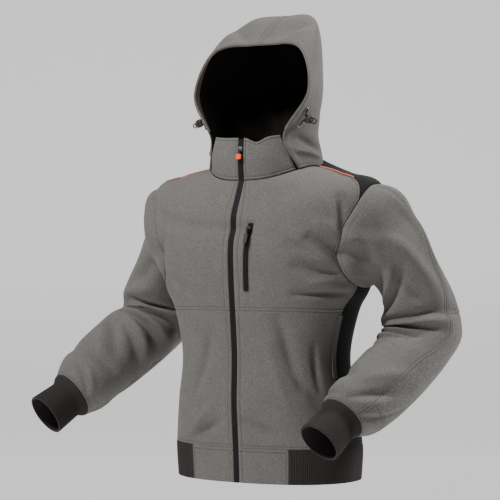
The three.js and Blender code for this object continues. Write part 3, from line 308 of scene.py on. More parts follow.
# Folds: from (angle, level) to (angle, level), height and half width in millimetres
BODY_FOLDS = (
    (38, 6.2, 76, 5.3, -17, 8),
    (42, 6.5, 77, 5.65, 7, 8),
    (34, 5.45, 70, 5.15, -13, 11),
    (46, 5.05, 74, 5.3, 7, 7),
    (36, 4.6, 75, 4.75, -11, 8),
    (54, 7.0, 60, 6.05, -10, 9),
    (28, 6.1, 44, 5.7, -6, 8),
    (27, 3.8, 44, 2.4, -10, 11),
    (20, 3.3, 34, 2.0, 4, 10),
    (44, 2.4, 64, 1.8, -9, 9),
    (56, 3.2, 60, 2.3, -6, 8),
    (5, 1.6, 24, 1.3, -8, 7),
    (-9, 1.55, -36, 1.0, -12, 8),
    (-12, 1.95, -30, 1.4, 5, 7),
    (-14, 3.5, -29, 2.2, -8, 10),
    (-28, 4.6, -52, 5.4, -7, 10),
    (-46, 6.1, -70, 5.3, -11, 11),
    (-50, 5.5, -72, 5.0, -7, 9),
    (150, 5.9, 120, 5.3, -13, 10),
    (158, 5.3, 126, 4.9, -9, 9),
    (-150, 5.8, -121, 5.2, -13, 10),
    (-156, 5.0, -128, 4.7, -8, 10),
    (168, 3.6, 140, 2.6, -9, 13),
    (-165, 3.2, -138, 2.3, -9, 13),
    (176, 1.8, 150, 1.3, -8, 9),
    (-172, 6.9, 170, 6.3, -5, 14),
)
LEFT_SLEEVE_FOLDS = (
    (27, 0.3, 6, 2.6, 7, 8),
    (5, 0.2, 21, 1.2, 4, 7),
    (80, 0.75, 24, 2.7, 9, 8),
    (96, 1.3, 44, 3.0, -10, 9),
    (62, 0.2, 135, 0.7, -10, 8),
    (150, 2.4, 80, 1.8, -12, 9),
    (150, 2.0, 100, 1.5, 5, 6),
    (165, 1.5, 120, 1.2, -8, 8),
    (142, 3.1, 0, 3.3, -12, 7),
    (140, 3.45, 20, 3.55, 7, 7),
    (150, 3.9, 30, 3.95, -7, 7),
    (152, 4.3, 66, 4.4, 7, 7),
    (155, 4.75, 60, 4.85, -10, 7),
    (160, 5.2, 70, 5.2, 6, 7),
    (165, 5.7, 80, 5.5, -8, 8),
    (170, 6.3, 96, 6.3, -6, 10),
    (60, 8.2, 10, 6.9, 6, 9),
    (52, 9.3, -10, 7.3, -9, 8),
    (3, 9.8, -40, 7.7, -6, 7),
    (170, 7.6, 90, 8.2, -8, 9),
    (140, 9.2, 80, 9.5, -6, 6),
    (-60, 5.2, -120, 4.8, -5, 12),
    (-90, 7.4, -140, 8.4, -7, 12),
)
RIGHT_SLEEVE_FOLDS = (
    (10, 1.0, -30, 3.0, -8, 12),
    (120, 0.9, 60, 2.6, -9, 10),
    (100, 2.3, 40, 3.2, 5, 9),
    (70, 3.3, 150, 3.9, -9, 8),
    (62, 3.9, 170, 4.5, 6, 7),
    (60, 4.4, 183, 5.2, -11, 7),
    (62, 4.9, 196, 5.8, 7, 7),
    (64, 5.4, 203, 6.4, -12, 7),
    (80, 5.9, 200, 6.9, 6, 7),
    (90, 6.4, 196, 7.3, -8, 8),
    (60, 6.4, 130, 7.6, -7, 8),
    (60, 7.0, 120, 8.1, 5, 8),
    (99, 8.3, 153, 8.1, -8, 7),
    (83, 8.9, 150, 9.7, -7, 6),
    (120, 8.9, 150, 9.3, 4, 5),
    (20, 7.8, 60, 8.9, -6, 8),
    (-60, 4.6, -120, 5.0, -5, 12),
    (-80, 7.6, -135, 8.2, -7, 12),
)
MM_PER_BODY_DEGREE = 3.6
MM_PER_BODY_LEVEL = 90
MM_PER_SLEEVE_DEGREE = 1.35
MM_PER_SLEEVE_SECTION = 48

plain_body = surface(1, lambda angle, level: ring_point(BODY_RINGS, angle, level))
body = folded(plain_body, BODY_FOLDS, MM_PER_BODY_DEGREE, MM_PER_BODY_LEVEL,
              lambda level: smooth_step(level, HEM_SEAM - 0.2, HEM_SEAM + 0.5))
collar = surface(1, lambda angle, level: ring_point(COLLAR_RINGS, angle, level))


def turned_over(points):
    return points * np.array([-1.0, 1.0, 1.0])


def mirror_surface(at):
    """The other half of a surface, seen from the left side."""
    return surface(at.side, lambda angle, level: turned_over(at(-angle, level)))


def armhole_place(step):
    count = len(ARMHOLE["angle"])
    place = (np.asarray(step, float) / ARMHOLE_STEPS * count) % count
    index = np.floor(place).astype(int)
    part = place - index
    return tuple(
        through_values(*(ARMHOLE[name][(index + offset) % count] for offset in (-1, 0, 1, 2)), part)
        for name in ("angle", "level"))


def hood_at(along, down):
    value = {name: column_at(HOOD_ARCHES, name, along) for name in HOOD_ARCHES}
    base = np.full(len(along), 0.02)
    foot = collar(value["foot"], base) + normal_on(collar, value["foot"], base) * LAP_LIFT
    foot[:, 2] -= NAPE_DROP * smooth_step(value["foot"], 140, 172)
    top = np.stack([np.zeros(len(along)), value["top_y"], value["top_z"]], axis=-1)
    wide = np.stack([value["wide_x"], value["wide_y"], value["wide_z"]], axis=-1)
    shoulder = np.stack([
        wide[:, 0] * SHOULDER_OUT,
        mix(top[:, 1], wide[:, 1], SHOULDER_FORWARD),
        mix(top[:, 2], wide[:, 2], SHOULDER_DOWN),
    ], axis=-1)
    waist = np.stack([value["waist_x"], value["waist_y"], value["waist_z"]], axis=-1)
    return points_between([top, shoulder, wide, waist, foot], down, turned_over(shoulder))


plain_hood = surface(-1, hood_at)


def section_point(rows, index, turn):
    """A point on one tilted oval of a sleeve."""
    row = {name: rows[name][index] for name in rows}
    aim = unit(np.array([row["aim_x"], row["aim_y"], row["aim_z"]]))
    outward = next(np.array(way) for floor, way in OUTWARD_WAYS if row["z"] > floor)
    outward = unit(outward - aim * outward.dot(aim))
    forward = np.cross(aim, outward)
    cosine = np.cos(turn)[:, None]
    reach = np.where(cosine > 0, row["out"], row["inn"])
    centre = np.array([row["x"], row["y"], row["z"]])
    return centre + outward * cosine * reach + forward * (np.sin(turn) * row["deep"])[:, None]


def sleeve_surface(trunk, rows, folds):
    def at(angle, level):
        start = trunk(*armhole_place(angle / 360 * ARMHOLE_STEPS)) + np.array([SEAM_GAP, 0, 0])
        turn = np.radians(angle)
        points = [start] + [section_point(rows, index, turn) for index in range(SLEEVE_SECTIONS)]
        share = (1 + np.cos(turn)) / 2
        side_share = np.sin(turn) ** 2
        set_off = mix(CAP_UNDER, CAP_RISE, share) + (CAP_SIDE - (CAP_UNDER + CAP_RISE) / 2) * side_share
        beyond = points[1] - np.stack([2 * set_off, 0 * set_off, 0 * set_off], axis=-1)
        return points_between(points, level, beyond)
    plain = surface(1, at)
    return folded(plain, folds, MM_PER_SLEEVE_DEGREE, MM_PER_SLEEVE_SECTION,
                  lambda level: smooth_step(level, 0, 0.7))


def line(start, end):
    """An edge between two places, as a function from 0 to 1."""
    return lambda part: tuple(mix(a, b, part) for a, b in zip(start, end))


def rectangle(start, end, bottom, top):
    """The bottom, top, left and right edges of a piece between two angles and two levels."""
    return (line((start, bottom), (end, bottom)), line((start, top), (end, top)),
            line((start, bottom), (start, top)), line((end, bottom), (end, top)))


def armhole_edge(start, end):
    return lambda part: armhole_place(mix(start, end, part))


def front_edge(start, end):
    def at(part):
        level = mix(start, end, part)
        return angle_for_x(BODY_RINGS, FRONT_EDGE_X, level), level
    return at


def joined(*stretches):
    """Edges in a row, each given with its share of the whole."""
    total = sum(share for share, _ in stretches)

    def at(part):
        part = np.asarray(part, float)
        angle, level = np.zeros(part.shape), np.zeros(part.shape)
        start = 0
        for share, edge in stretches:
            share /= total
            here = part >= start - 1e-9
            found = edge(np.clip((part[here] - start) / share, 0, 1))
            angle[here], level[here] = found
            start += share
        return angle, level
    return at


class Cut:
    """A piece of cloth: where its edges run, how large it is and what it lies on."""

    def __init__(self, on, edges, width, height, lift=0.0):
        self.on = on
        self.edges = edges
        self.width = width
        self.height = height
        self.lift = lift

    def place(self, across, up):
        bottom, top, left, right = (np.stack(edge(part)) for edge, part in zip(
            self.edges, (across, across, up, up)))
        ends = np.array([0.0, 1.0])
        low, high = np.stack(self.edges[0](ends)), np.stack(self.edges[1](ends))
        corners = mix(mix(low[:, :1], low[:, 1:], across), mix(high[:, :1], high[:, 1:], across), up)
        return mix(bottom, top, up) + mix(left, right, across) - corners

    def at(self, across, up, lift=0.0):
        """Points of the cloth's outer face, and the way out there."""
        angle, level = self.place(np.asarray(across, float), np.asarray(up, float))
        out = normal_on(self.on, angle, level)
        return self.on(angle, level) + out * np.reshape(self.lift + lift, (-1, 1)), out


# Sewing: a seam is a valley, then a raised allowance, then a pressed row of stitches
SEAM_LINES = (0, 0.7, 1.8, 3.2, 4.6, 5.4, 6.2, 7.0, 8.4)
SEAM_DEPTH = 0.9
SEAM_HALF_WIDTH = 1.1
ALLOWANCE_HEIGHT = 0.55
ALLOWANCE_INSET = 3.4
ALLOWANCE_HALF_WIDTH = 1.5
STITCH_INSET = 6.2
STITCH_DEPTH = 0.85
STITCH_HALF_WIDTH = 0.75
STITCH_LIFT = -0.4
CLOTH_STEP = 4.0
FINE_STEP = 3
COLLAR_STEP = 3.5


def grid_line(length, step=CLOTH_STEP, gap=0):
    """Places along a piece in millimetres, closer near both edges, with a gap at each."""
    edge = np.array(SEAM_LINES)
    if length < 2.6 * edge[-1]:
        edge = edge[:4]
    count = max(2, int(round((length - 2 * gap - 2 * edge[-1]) / step)))
    middle = np.linspace(gap + edge[-1], length - gap - edge[-1], count + 1)
    return np.concatenate([gap + edge[:-1], middle, length - gap - edge[-2::-1]])


def seam_relief(distance, stitched):
    """How far the cloth stands out at a distance from its edge."""
    relief = -SEAM_DEPTH * np.exp(-(np.maximum(distance, 0) / SEAM_HALF_WIDTH) ** 1.5)
    if stitched:
        relief += ALLOWANCE_HEIGHT * np.exp(-((distance - ALLOWANCE_INSET) / ALLOWANCE_HALF_WIDTH) ** 2)
        relief -= STITCH_DEPTH * np.exp(-((distance - STITCH_INSET) / STITCH_HALF_WIDTH) ** 2)
    return relief


def make_mesh(name, points, faces, uv, face_finish):
    """A mesh of four-sided faces, from numbered points in millimetres."""
    used, faces = np.unique(faces, return_inverse=True)
    faces = faces.reshape(-1, 4)
    mesh = bpy.data.meshes.new(name)
    mesh.vertices.add(len(used))
    mesh.vertices.foreach_set("co", (points[used] * MM).astype(np.float32).ravel())
    mesh.loops.add(faces.size)
    mesh.loops.foreach_set("vertex_index", faces.astype(np.int32).ravel())
    mesh.polygons.add(len(faces))
    mesh.polygons.foreach_set("loop_start", np.arange(0, faces.size, 4, dtype=np.int32))
    mesh.polygons.foreach_set("use_smooth", np.ones(len(faces), bool))
    layer = mesh.uv_layers.new(name="UVMap")
    layer.data.foreach_set("uv", (uv.reshape(-1, 2) * MM).astype(np.float32).ravel())
    mesh.polygons.foreach_set("material_index", face_finish.astype(np.int32))
    mesh.update(calc_edges=True)
    mesh.validate()
    obj = bpy.data.objects.new(name, mesh)
    bpy.context.scene.collection.objects.link(obj)
    return obj


def cell_corners(grid):
    """The four corners of each cell of a grid, in turn."""
    return grid[:-1, :-1], grid[:-1, 1:], grid[1:, 1:], grid[1:, :-1]


def make_wall(name, outer, inner, out, sizes, closed):
    """A thin wall between two grids of points, with its width and height lines in
    millimetres. closed joins the last column on to the first."""
    rows, columns = outer.shape[:2]
    count = rows * columns
    number = np.arange(count).reshape(rows, columns)
    if closed:
        number = np.concatenate([number, number[:, :1]], axis=1)
    cells = np.stack(cell_corners(number), -1)
    cell_uv = np.stack(cell_corners(np.stack(np.meshgrid(*sizes), -1)), 2)
    outside, outside_uv = cells.reshape(-1, 4), cell_uv.reshape(-1, 4, 2)
    faces = [outside, outside[:, ::-1] + count]
    uvs = [outside_uv, outside_uv[:, ::-1]]
    finishes = [0, 1]
    rims = ((0, 1, np.s_[:1]), (1, 2, np.s_[:, -1:]), (2, 3, np.s_[-1:]), (3, 0, np.s_[:, :1]))
    for first, second, edge in rims[::2] if closed else rims:
        start, end = (cells[edge][..., corner].ravel() for corner in (first, second))
        start_uv, end_uv = (cell_uv[edge][..., corner, :].reshape(-1, 2) for corner in (first, second))
        faces.append(np.stack([end, start, start + count, end + count], -1))
        uvs.append(np.stack([end_uv, start_uv, start_uv, end_uv], 1))
        finishes.append(0)
    finish = np.concatenate([np.full(len(group), kind) for group, kind in zip(faces, finishes)])
    faces, uvs = np.concatenate(faces), np.concatenate(uvs)
    points = np.concatenate([outer.reshape(-1, 3), inner.reshape(-1, 3)])
    a, b, c = (points[outside[:, corner]] for corner in (0, 1, 2))
    cell_out = out[:-1, :cells.shape[1]].reshape(-1, 3)
    if np.sum(np.cross(b - a, c - a) * cell_out) < 0:
        faces, uvs = faces[:, ::-1], uvs[:, ::-1]
    return make_mesh(name, points, faces, uvs, finish)


def sew_on(piece, slot, finishes, *nodes):
    """Gives a finished piece its cloths and ties it to the frame."""
    for finish in finishes:
        piece.data.materials.append(finish)
    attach(piece, BODY)
    if nodes:
        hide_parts(*nodes)


def make_cloth(name, grids, sizes, slot, finishes, turned=False, closed=False, ending="cloth"):
    """A piece of cloth in place of its CAD node, from grids of its outer points, its inner
    points and the ways out. turned makes the one on the other side of the jacket."""
    outer, inner, out = (turned_over(grid) if turned else grid for grid in grids)
    piece = make_wall(f"{name}_{ending}", outer, inner, out, sizes, closed)
    sew_on(piece, slot, finishes, name)


def make_cut(name, cut, slot, finishes, stitched="", thickness=SHELL_THICKNESS, turned=False,
             step=CLOTH_STEP, step_up=None, relief=None):
    """One flat-cut piece of cloth. stitched names the edges with a row of stitches:
    b, t, l, r for the bottom, top, left and right."""
    across, up = grid_line(cut.width, step), grid_line(cut.height, step_up or step)
    u, v = np.meshgrid(across, up)
    lift = np.zeros(u.shape)
    for edge, distance in (("b", v), ("t", cut.height - v), ("l", u), ("r", cut.width - u)):
        lift += seam_relief(distance, edge in stitched)
    if relief:
        lift += relief(u, v)
    points, out = cut.at((u / cut.width).ravel(), (v / cut.height).ravel(), lift.ravel())
    base, _ = cut.at((u / cut.width).ravel(), (v / cut.height).ravel())
    grids = [grid.reshape(*u.shape, 3) for grid in (points, base - out * thickness, out)]
    make_cloth(name, grids, (across, up), slot, finishes, turned)
    for edge in stitched:
        stitch_along(cut, edge, turned, "dark_thread" if slot == "black_shell" else "thread")


stitch_rows = []


def add_stitch_row(points, out, thread="thread", turned=False):
    if turned:
        points, out = turned_over(points), turned_over(out)
    stitch_rows.append((thread, points, out))


def stitch_along(cut, edge, turned, thread):
    """A row of stitches inside one edge of a cut."""
    length = cut.width if edge in "bt" else cut.height
    inset = STITCH_INSET / (cut.height if edge in "bt" else cut.width)
    along = np.linspace(2 / length, 1 - 2 / length, int(length / 3))
    beside = np.full(len(along), inset if edge in "bl" else 1 - inset)
    across, up = (along, beside) if edge in "bt" else (beside, along)
    points, out = cut.at(across, up, np.full(len(along), STITCH_LIFT))
    add_stitch_row(points, out, thread, turned)


# Finishes
def new_finish(name, colour, roughness, **sockets):
    """A plain finish, and its node tree and shader to add detail to."""
    material = bpy.data.materials.new(name)
    material.use_nodes = True
    tree = material.node_tree
    shader = tree.nodes["Principled BSDF"]
    shader.inputs["Base Color"].default_value = (*colour, 1)
    shader.inputs["Roughness"].default_value = roughness
    for socket, value in sockets.items():
        shader.inputs[socket.replace("_", " ")].default_value = value
    material.diffuse_color = (*colour, 1)
    return material, tree, shader


def add_node(tree, kind, links=(), **settings):
    """A node with its settings, linked from (socket, output) pairs."""
    node = tree.nodes.new(f"ShaderNode{kind}")
    for key, value in settings.items():
        if key in node.inputs:
            node.inputs[key].default_value = value
        elif key.replace("_", " ") in node.inputs:
            node.inputs[key.replace("_", " ")].default_value = value
        else:
            setattr(node, key, value)
    for socket, output in links:
        tree.links.new(output, node.inputs[socket])
    return node


def object_place(tree, scale=(1, 1, 1), output="Object"):
    """The place on the piece, stretched along each axis."""
    place = add_node(tree, "TexCoord")
    return add_node(tree, "Mapping", [("Vector", place.outputs[output])], Scale=scale).outputs[0]


def noise(tree, vector, scale, detail=2.0, roughness=0.5):
    return add_node(tree, "TexNoise", [("Vector", vector)], Scale=scale, Detail=detail,
                    Roughness=roughness).outputs["Fac"]


def blend_colours(tree, share, stops):
    """A colour ramp through (place, colour) stops."""
    ramp = add_node(tree, "ValToRGB", [("Fac", share)])
    elements = ramp.color_ramp.elements
    while len(elements) < len(stops):
        elements.new(0.5)
    for element, (place, colour) in zip(elements, stops):
        element.position = place
        element.color = (*colour, 1)
    return ramp.outputs["Color"]


def colour_by(tree, shader, share, stops):
    tree.links.new(blend_colours(tree, share, stops), shader.inputs["Base Color"])


def times(tree, one, other):
    """Two colours multiplied."""
    node = add_node(tree, "Mix", data_type="RGBA", blend_type="MULTIPLY")
    node.inputs[0].default_value = 1
    tree.links.new(one, node.inputs[6])
    tree.links.new(other, node.inputs[7])
    return node.outputs[2]


def add_bump(tree, shader, height, strength, distance):
    bump = add_node(tree, "Bump", [("Height", height)], Strength=strength, Distance=distance)
    tree.links.new(bump.outputs[0], shader.inputs["Normal"])


def shade(colour, share):
    return tuple(min(1, value * share) for value in colour)


def melange_cloth(name, colour, contrast, fleck=620, roughness=0.92, sheen=0.05):
    """Knit-faced softshell: light and dark yarn flecks with a faint cloudy change."""
    material, tree, shader = new_finish(name, colour, roughness, Sheen_Weight=sheen, Sheen_Roughness=0.45,
                                        Specular_IOR_Level=0.2)
    place = object_place(tree)
    flecks = noise(tree, place, fleck, 3.0, 0.65)
    yarn = blend_colours(tree, flecks, (
        (0.3, shade(colour, 1 - contrast)), (0.5, colour), (0.7, shade(colour, 1 + contrast))))
    clouds = blend_colours(tree, noise(tree, place, 24, 2.0), (
        (0.3, (0.93, 0.93, 0.93)), (0.7, (1.0, 1.0, 1.0))))
    tree.links.new(times(tree, yarn, clouds), shader.inputs["Base Color"])
    add_bump(tree, shader, noise(tree, place, 900, 2.0), 0.25, 0.0006)
    return material


def rib_knit(name, colour):
    """Rib knit: the ribs are raised in the mesh, so only the yarn is drawn here."""
    material, tree, shader = new_finish(name, colour, 0.95, Sheen_Weight=0.04, Specular_IOR_Level=0.15)
    place = object_place(tree)
    yarn = noise(tree, place, 700, 3.0, 0.7)
    colour_by(tree, shader, yarn, ((0.3, shade(colour, 0.6)), (0.7, shade(colour, 1.45))))
    across = object_place(tree, (260, 420, 1), "UV")
    loops = add_node(tree, "TexVoronoi", [("Vector", across)], Scale=1.0, Randomness=0.25).outputs["Distance"]
    add_bump(tree, shader, loops, 0.3, 0.0005)
    return material


def fleece(name, colour):
    material, tree, shader = new_finish(name, colour, 0.98, Sheen_Weight=0.03, Specular_IOR_Level=0.1)
    place = object_place(tree)
    pile = noise(tree, place, 380, 4.0, 0.7)
    colour_by(tree, shader, pile, ((0.35, shade(colour, 0.6)), (0.7, shade(colour, 1.5))))
    add_bump(tree, shader, pile, 0.6, 0.0015)
    return material


def satin(name, colour):
    """A smooth woven facing with fine twill lines and a soft gloss."""
    material, tree, shader = new_finish(name, colour, 0.42, Sheen_Weight=0.1, Specular_IOR_Level=0.4)
    place = object_place(tree, (900, 900, 1), "UV")
    twill = add_node(tree, "TexWave", [("Vector", place)], bands_direction="DIAGONAL", Scale=0.3,
                     Distortion=0.6, Detail=1.0).outputs["Fac"]
    colour_by(tree, shader, twill, ((0.2, shade(colour, 0.82)), (0.8, shade(colour, 1.12))))
    add_bump(tree, shader, twill, 0.15, 0.0003)
    return material


def woven_tape(name, colour, pitch=1.4, roughness=0.7, contrast=0.25):
    """Tape and cord weave: small diagonal ribs that follow the piece."""
    material, tree, shader = new_finish(name, colour, roughness, Specular_IOR_Level=0.15)
    place = object_place(tree, (1000 / pitch, 1000 / pitch, 1), "UV")
    weave = add_node(tree, "TexWave", [("Vector", place)], bands_direction="DIAGONAL", Scale=0.32,
                     Distortion=0.3, Detail=1.0).outputs["Fac"]
    colour_by(tree, shader, weave, ((0.2, shade(colour, 1 - contrast)), (0.8, shade(colour, 1 + contrast))))
    add_bump(tree, shader, weave, 0.35, 0.0004)
    return material


def moulded(name, colour, roughness, metallic=0.0, wear=0.15):
    """Moulded plastic or plated metal with slightly uneven gloss."""
    material, tree, shader = new_finish(name, colour, roughness, Metallic=metallic)
    place = object_place(tree)
    uneven = add_node(tree, "MapRange", [("Value", noise(tree, place, 300, 3.0))])
    uneven.inputs["To Min"].default_value = roughness - wear / 2
    uneven.inputs["To Max"].default_value = roughness + wear
    tree.links.new(uneven.outputs[0], shader.inputs["Roughness"])
    cast = noise(tree, place, 160, 2.0)
    colour_by(tree, shader, cast, ((0.3, shade(colour, 0.9)), (0.7, shade(colour, 1.08))))
    add_bump(tree, shader, noise(tree, place, 1400, 2.0), 0.08, 0.0002)
    return material


def paint(code):
    """A colour as it reads in the photo, made linear for the shader."""
    return tuple(((code >> shift & 255) / 255) ** 2.2 for shift in (16, 8, 0))


def colour_choice(name, description, code):
    return bpy.props.FloatVectorProperty(
        name=name, description=description, subtype="COLOR", size=3, min=0, max=1, default=paint(code))


def length_choice(name, description, metres):
    return bpy.props.FloatProperty(name=name, description=description, default=metres, unit="LENGTH")


class JacketSizes(bpy.types.PropertyGroup):
    """Sizes a maker would change."""
    rib_pitch: length_choice("Rib pitch", "Distance between two ribs of the knit bands", 0.0045)
    rib_height: length_choice("Rib height", "How far a rib stands out", 0.0009)
    stitch_length: length_choice("Stitch length", "Length of one topstitch", 0.0034)
    stitch_gap: length_choice("Stitch gap", "Space between two topstitches", 0.0012)
    stitch_width: length_choice("Stitch width", "Width of the sewing thread", 0.0009)


class JacketColours(bpy.types.PropertyGroup):
    """Colours of the cloths and trims."""
    shell: colour_choice("Shell", "Grey melange of the main cloth", 0x5C5A57)
    elbow: colour_choice("Elbow", "Cloth of the elbow panels", 0x605E5B)
    black: colour_choice("Black cloth", "Yoke and side panels", 0x1C1B1A)
    rib: colour_choice("Rib", "Knit cuffs and hem band", 0x2E2A2A)
    fleece: colour_choice("Fleece", "Inside face of the cloth", 0x1E1918)
    facing: colour_choice("Facing", "Satin band inside the hood's edge", 0x695F58)
    zip: colour_choice("Zip", "Zip tape and coil", 0x1A191B)
    metal: colour_choice("Metal", "Zip slider and eyelets", 0xA9A9A6)
    tab: colour_choice("Tab", "Tab on the front zip's pull", 0xFF5A12)
    piping: colour_choice("Piping", "Piping between front and yoke", 0xE8705C)
    cord: colour_choice("Cord", "Drawcords and cord locks", 0x1C1B1C)
    floor: colour_choice("Floor", "Studio floor and backdrop", 0xF4F4F4)


FINISH_MAKERS = {
    "shell": lambda colours: melange_cloth("shell", colours.shell, 0.5),
    "elbow": lambda colours: melange_cloth("elbow", colours.elbow, 0.42, fleck=330),
    "black": lambda colours: melange_cloth("black_cloth", colours.black, 0.3, sheen=0.02),
    "rib": lambda colours: rib_knit("rib", colours.rib),
    "fleece": lambda colours: fleece("fleece", colours.fleece),
    "facing": lambda colours: satin("satin", colours.facing),
    "zip": lambda colours: woven_tape("zip_tape", colours.zip),
    "metal": lambda colours: moulded("metal", colours.metal, 0.3, metallic=0.9),
    "tab": lambda colours: woven_tape("tab", colours.tab, pitch=1.8, roughness=0.55, contrast=0.12),
    "piping": lambda colours: woven_tape("piping", colours.piping, pitch=0.9, roughness=0.5, contrast=0.15),
    "cord": lambda colours: woven_tape("cord", colours.cord, pitch=0.9),
    "plastic": lambda colours: moulded("lock_plastic", colours.cord, 0.42),
    "thread": lambda colours: moulded("grey_thread", shade(colours.shell, 0.62), 0.8),
    "dark_thread": lambda colours: moulded("black_thread", shade(colours.black, 0.7), 0.8),
}
made_finishes = {}


def finish(name):
    if name not in made_finishes:
        made_finishes[name] = FINISH_MAKERS[name](bpy.context.scene.jacket_colours)
    return made_finishes[name]


class JacketOperator:
    """Shared by the operators: cloth is backed with fleece."""
    bl_options = {"REGISTER", "UNDO"}

    def shell_cloth(self, name="shell"):
        return [finish(name), finish("fleece")]


SIDES = (
    ("left", body, collar, False),
    ("right", mirror_surface(body), mirror_surface(collar), True),
)
FULL_TURN = 360
FRONT_YOKE_CORNER = armhole_place(FRONT_YOKE_STEP)
FRONT_SIDE_CORNER = armhole_place(FRONT_SIDE_STEP)
BACK_SIDE_CORNER = armhole_place(BACK_SIDE_STEP)
BACK_YOKE_CORNER = armhole_place(BACK_YOKE_STEP)


def front_x(level, rings=None):
    """The body angle of the front edge beside the zip."""
    return float(angle_for_x(rings or BODY_RINGS, FRONT_EDGE_X, level))


def mirrored_edge(edge):
    def at(part):
        angle, level = edge(part)
        return FULL_TURN - angle, level
    return at


def mirrored_corner(corner):
    return FULL_TURN - corner[0], corner[1]


def upper_front_cut(on):
    return Cut(on, (
        line((front_x(FRONT_SEAM), FRONT_SEAM), (SIDE_FRONT, FRONT_SEAM)),
        line((front_x(NECK), NECK), (YOKE_FRONT_NECK, NECK)),
        front_edge(FRONT_SEAM, NECK),
        joined(
            (3, line((SIDE_FRONT, FRONT_SEAM), FRONT_SIDE_CORNER)),
            (8, armhole_edge(FRONT_SIDE_STEP, FRONT_YOKE_STEP)),
            (5, line(FRONT_YOKE_CORNER, (YOKE_FRONT_NECK, NECK)))),
    ), width=210, height=350)


def front_cut(on, end, bottom, top, width, height):
    """A piece from the zip round to an angle, between two levels."""
    return Cut(on, (
        line((front_x(bottom), bottom), (end, bottom)),
        line((front_x(top), top), (end, top)),
        front_edge(bottom, top),
        line((end, bottom), (end, top)),
    ), width, height)


def side_seam(angle, corner):
    """The stretches of a seam from the hem straight up, then to a corner of the armhole."""
    return (9, line((angle, HEM_SEAM), (angle, FRONT_SEAM))), (3, line((angle, FRONT_SEAM), corner))


def side_cut(on):
    return Cut(on, (
        line((SIDE_FRONT, HEM_SEAM), (SIDE_BACK, HEM_SEAM)),
        armhole_edge(FRONT_SIDE_STEP, BACK_SIDE_STEP),
        joined(*side_seam(SIDE_FRONT, FRONT_SIDE_CORNER)),
        joined(*side_seam(SIDE_BACK, BACK_SIDE_CORNER)),
    ), width=104, height=390)


def collar_cut(on, side):
    start = front_x(0, COLLAR_RINGS)
    end = front_x(COLLAR_TOP, COLLAR_RINGS)
    depth = COLLAR_DIP if side == "left" else 0

    def top(part):
        angle = mix(end, COLLAR_END_TOP, part)
        return angle, COLLAR_TOP - depth * np.exp(-(((angle - COLLAR_DIP_ANGLE) / COLLAR_DIP_SPREAD) ** 2))

    return Cut(on, (
        line((start, 0), (COLLAR_END_BASE, 0)),
        top,
        line((start, 0), (end, COLLAR_TOP)),
        line((COLLAR_END_BASE, 0), (COLLAR_END_TOP, COLLAR_TOP)),
    ), width=112, height=88)


def back_cut():
    left_side = joined(*side_seam(SIDE_BACK, BACK_SIDE_CORNER),
                       (7, armhole_edge(BACK_SIDE_STEP, BACK_YOKE_STEP)))
    return Cut(body, (
        line((SIDE_BACK, HEM_SEAM), (FULL_TURN - SIDE_BACK, HEM_SEAM)),
        line(BACK_YOKE_CORNER, mirrored_corner(BACK_YOKE_CORNER)),
        left_side, mirrored_edge(left_side),
    ), width=400, height=500)


def yoke_cut():
    shoulder = armhole_edge(FRONT_YOKE_STEP, BACK_YOKE_STEP - ARMHOLE_STEPS)
    far_shoulder = mirrored_edge(lambda part: shoulder(1 - part))
    return Cut(body, (
        joined((7, shoulder),
               (16, line(BACK_YOKE_CORNER, mirrored_corner(BACK_YOKE_CORNER))),
               (7, far_shoulder)),
        line((YOKE_FRONT_NECK, NECK), (FULL_TURN - YOKE_FRONT_NECK, NECK)),
        line(FRONT_YOKE_CORNER, (YOKE_FRONT_NECK, NECK)),
        line(mirrored_corner(FRONT_YOKE_CORNER), (FULL_TURN - YOKE_FRONT_NECK, NECK)),
    ), width=700, height=150)


class JACKET_OT_fronts(JacketOperator, bpy.types.Operator):
    """Make the upper and lower fronts, the side panels and the pocket welts"""
    bl_idname = "jacket.fronts"
    bl_label = "Fronts and sides"

    def execute(self, context):
        for side, trunk, _, turned in SIDES:
            make_cut(f"front_upper_{side}", upper_front_cut(trunk), "grey_shell", self.shell_cloth(),
                     stitched="blr", turned=turned)
            lower = front_cut(trunk, SIDE_FRONT, HEM_SEAM, FRONT_SEAM, width=262, height=288)
            make_cut(f"front_lower_{side}", lower, "grey_shell", self.shell_cloth(),
                     stitched="lb", turned=turned)
            make_cut(f"side_panel_{side}", side_cut(trunk), "black_shell", self.shell_cloth("black"),
                     stitched="t", turned=turned)
            welt = Cut(trunk, rectangle(WELT_FRONT, WELT_BACK, POCKET_BOTTOM, POCKET_TOP),
                       width=18, height=135, lift=WELT_LIFT)
            make_cut(f"pocket_welt_{side}", welt, "grey_shell", self.shell_cloth(),
                     thickness=WELT_THICKNESS, turned=turned, step=FINE_STEP)
        return {"FINISHED"}


class JACKET_OT_back(JacketOperator, bpy.types.Operator):
    """Make the back and the yoke over both shoulders"""
    bl_idname = "jacket.back"
    bl_label = "Back and yoke"

    def execute(self, context):
        make_cut("back", back_cut(), "grey_shell", self.shell_cloth(), stitched="t")
        make_cut("yoke", yoke_cut(), "black_shell", self.shell_cloth("black"), stitched="")
        return {"FINISHED"}


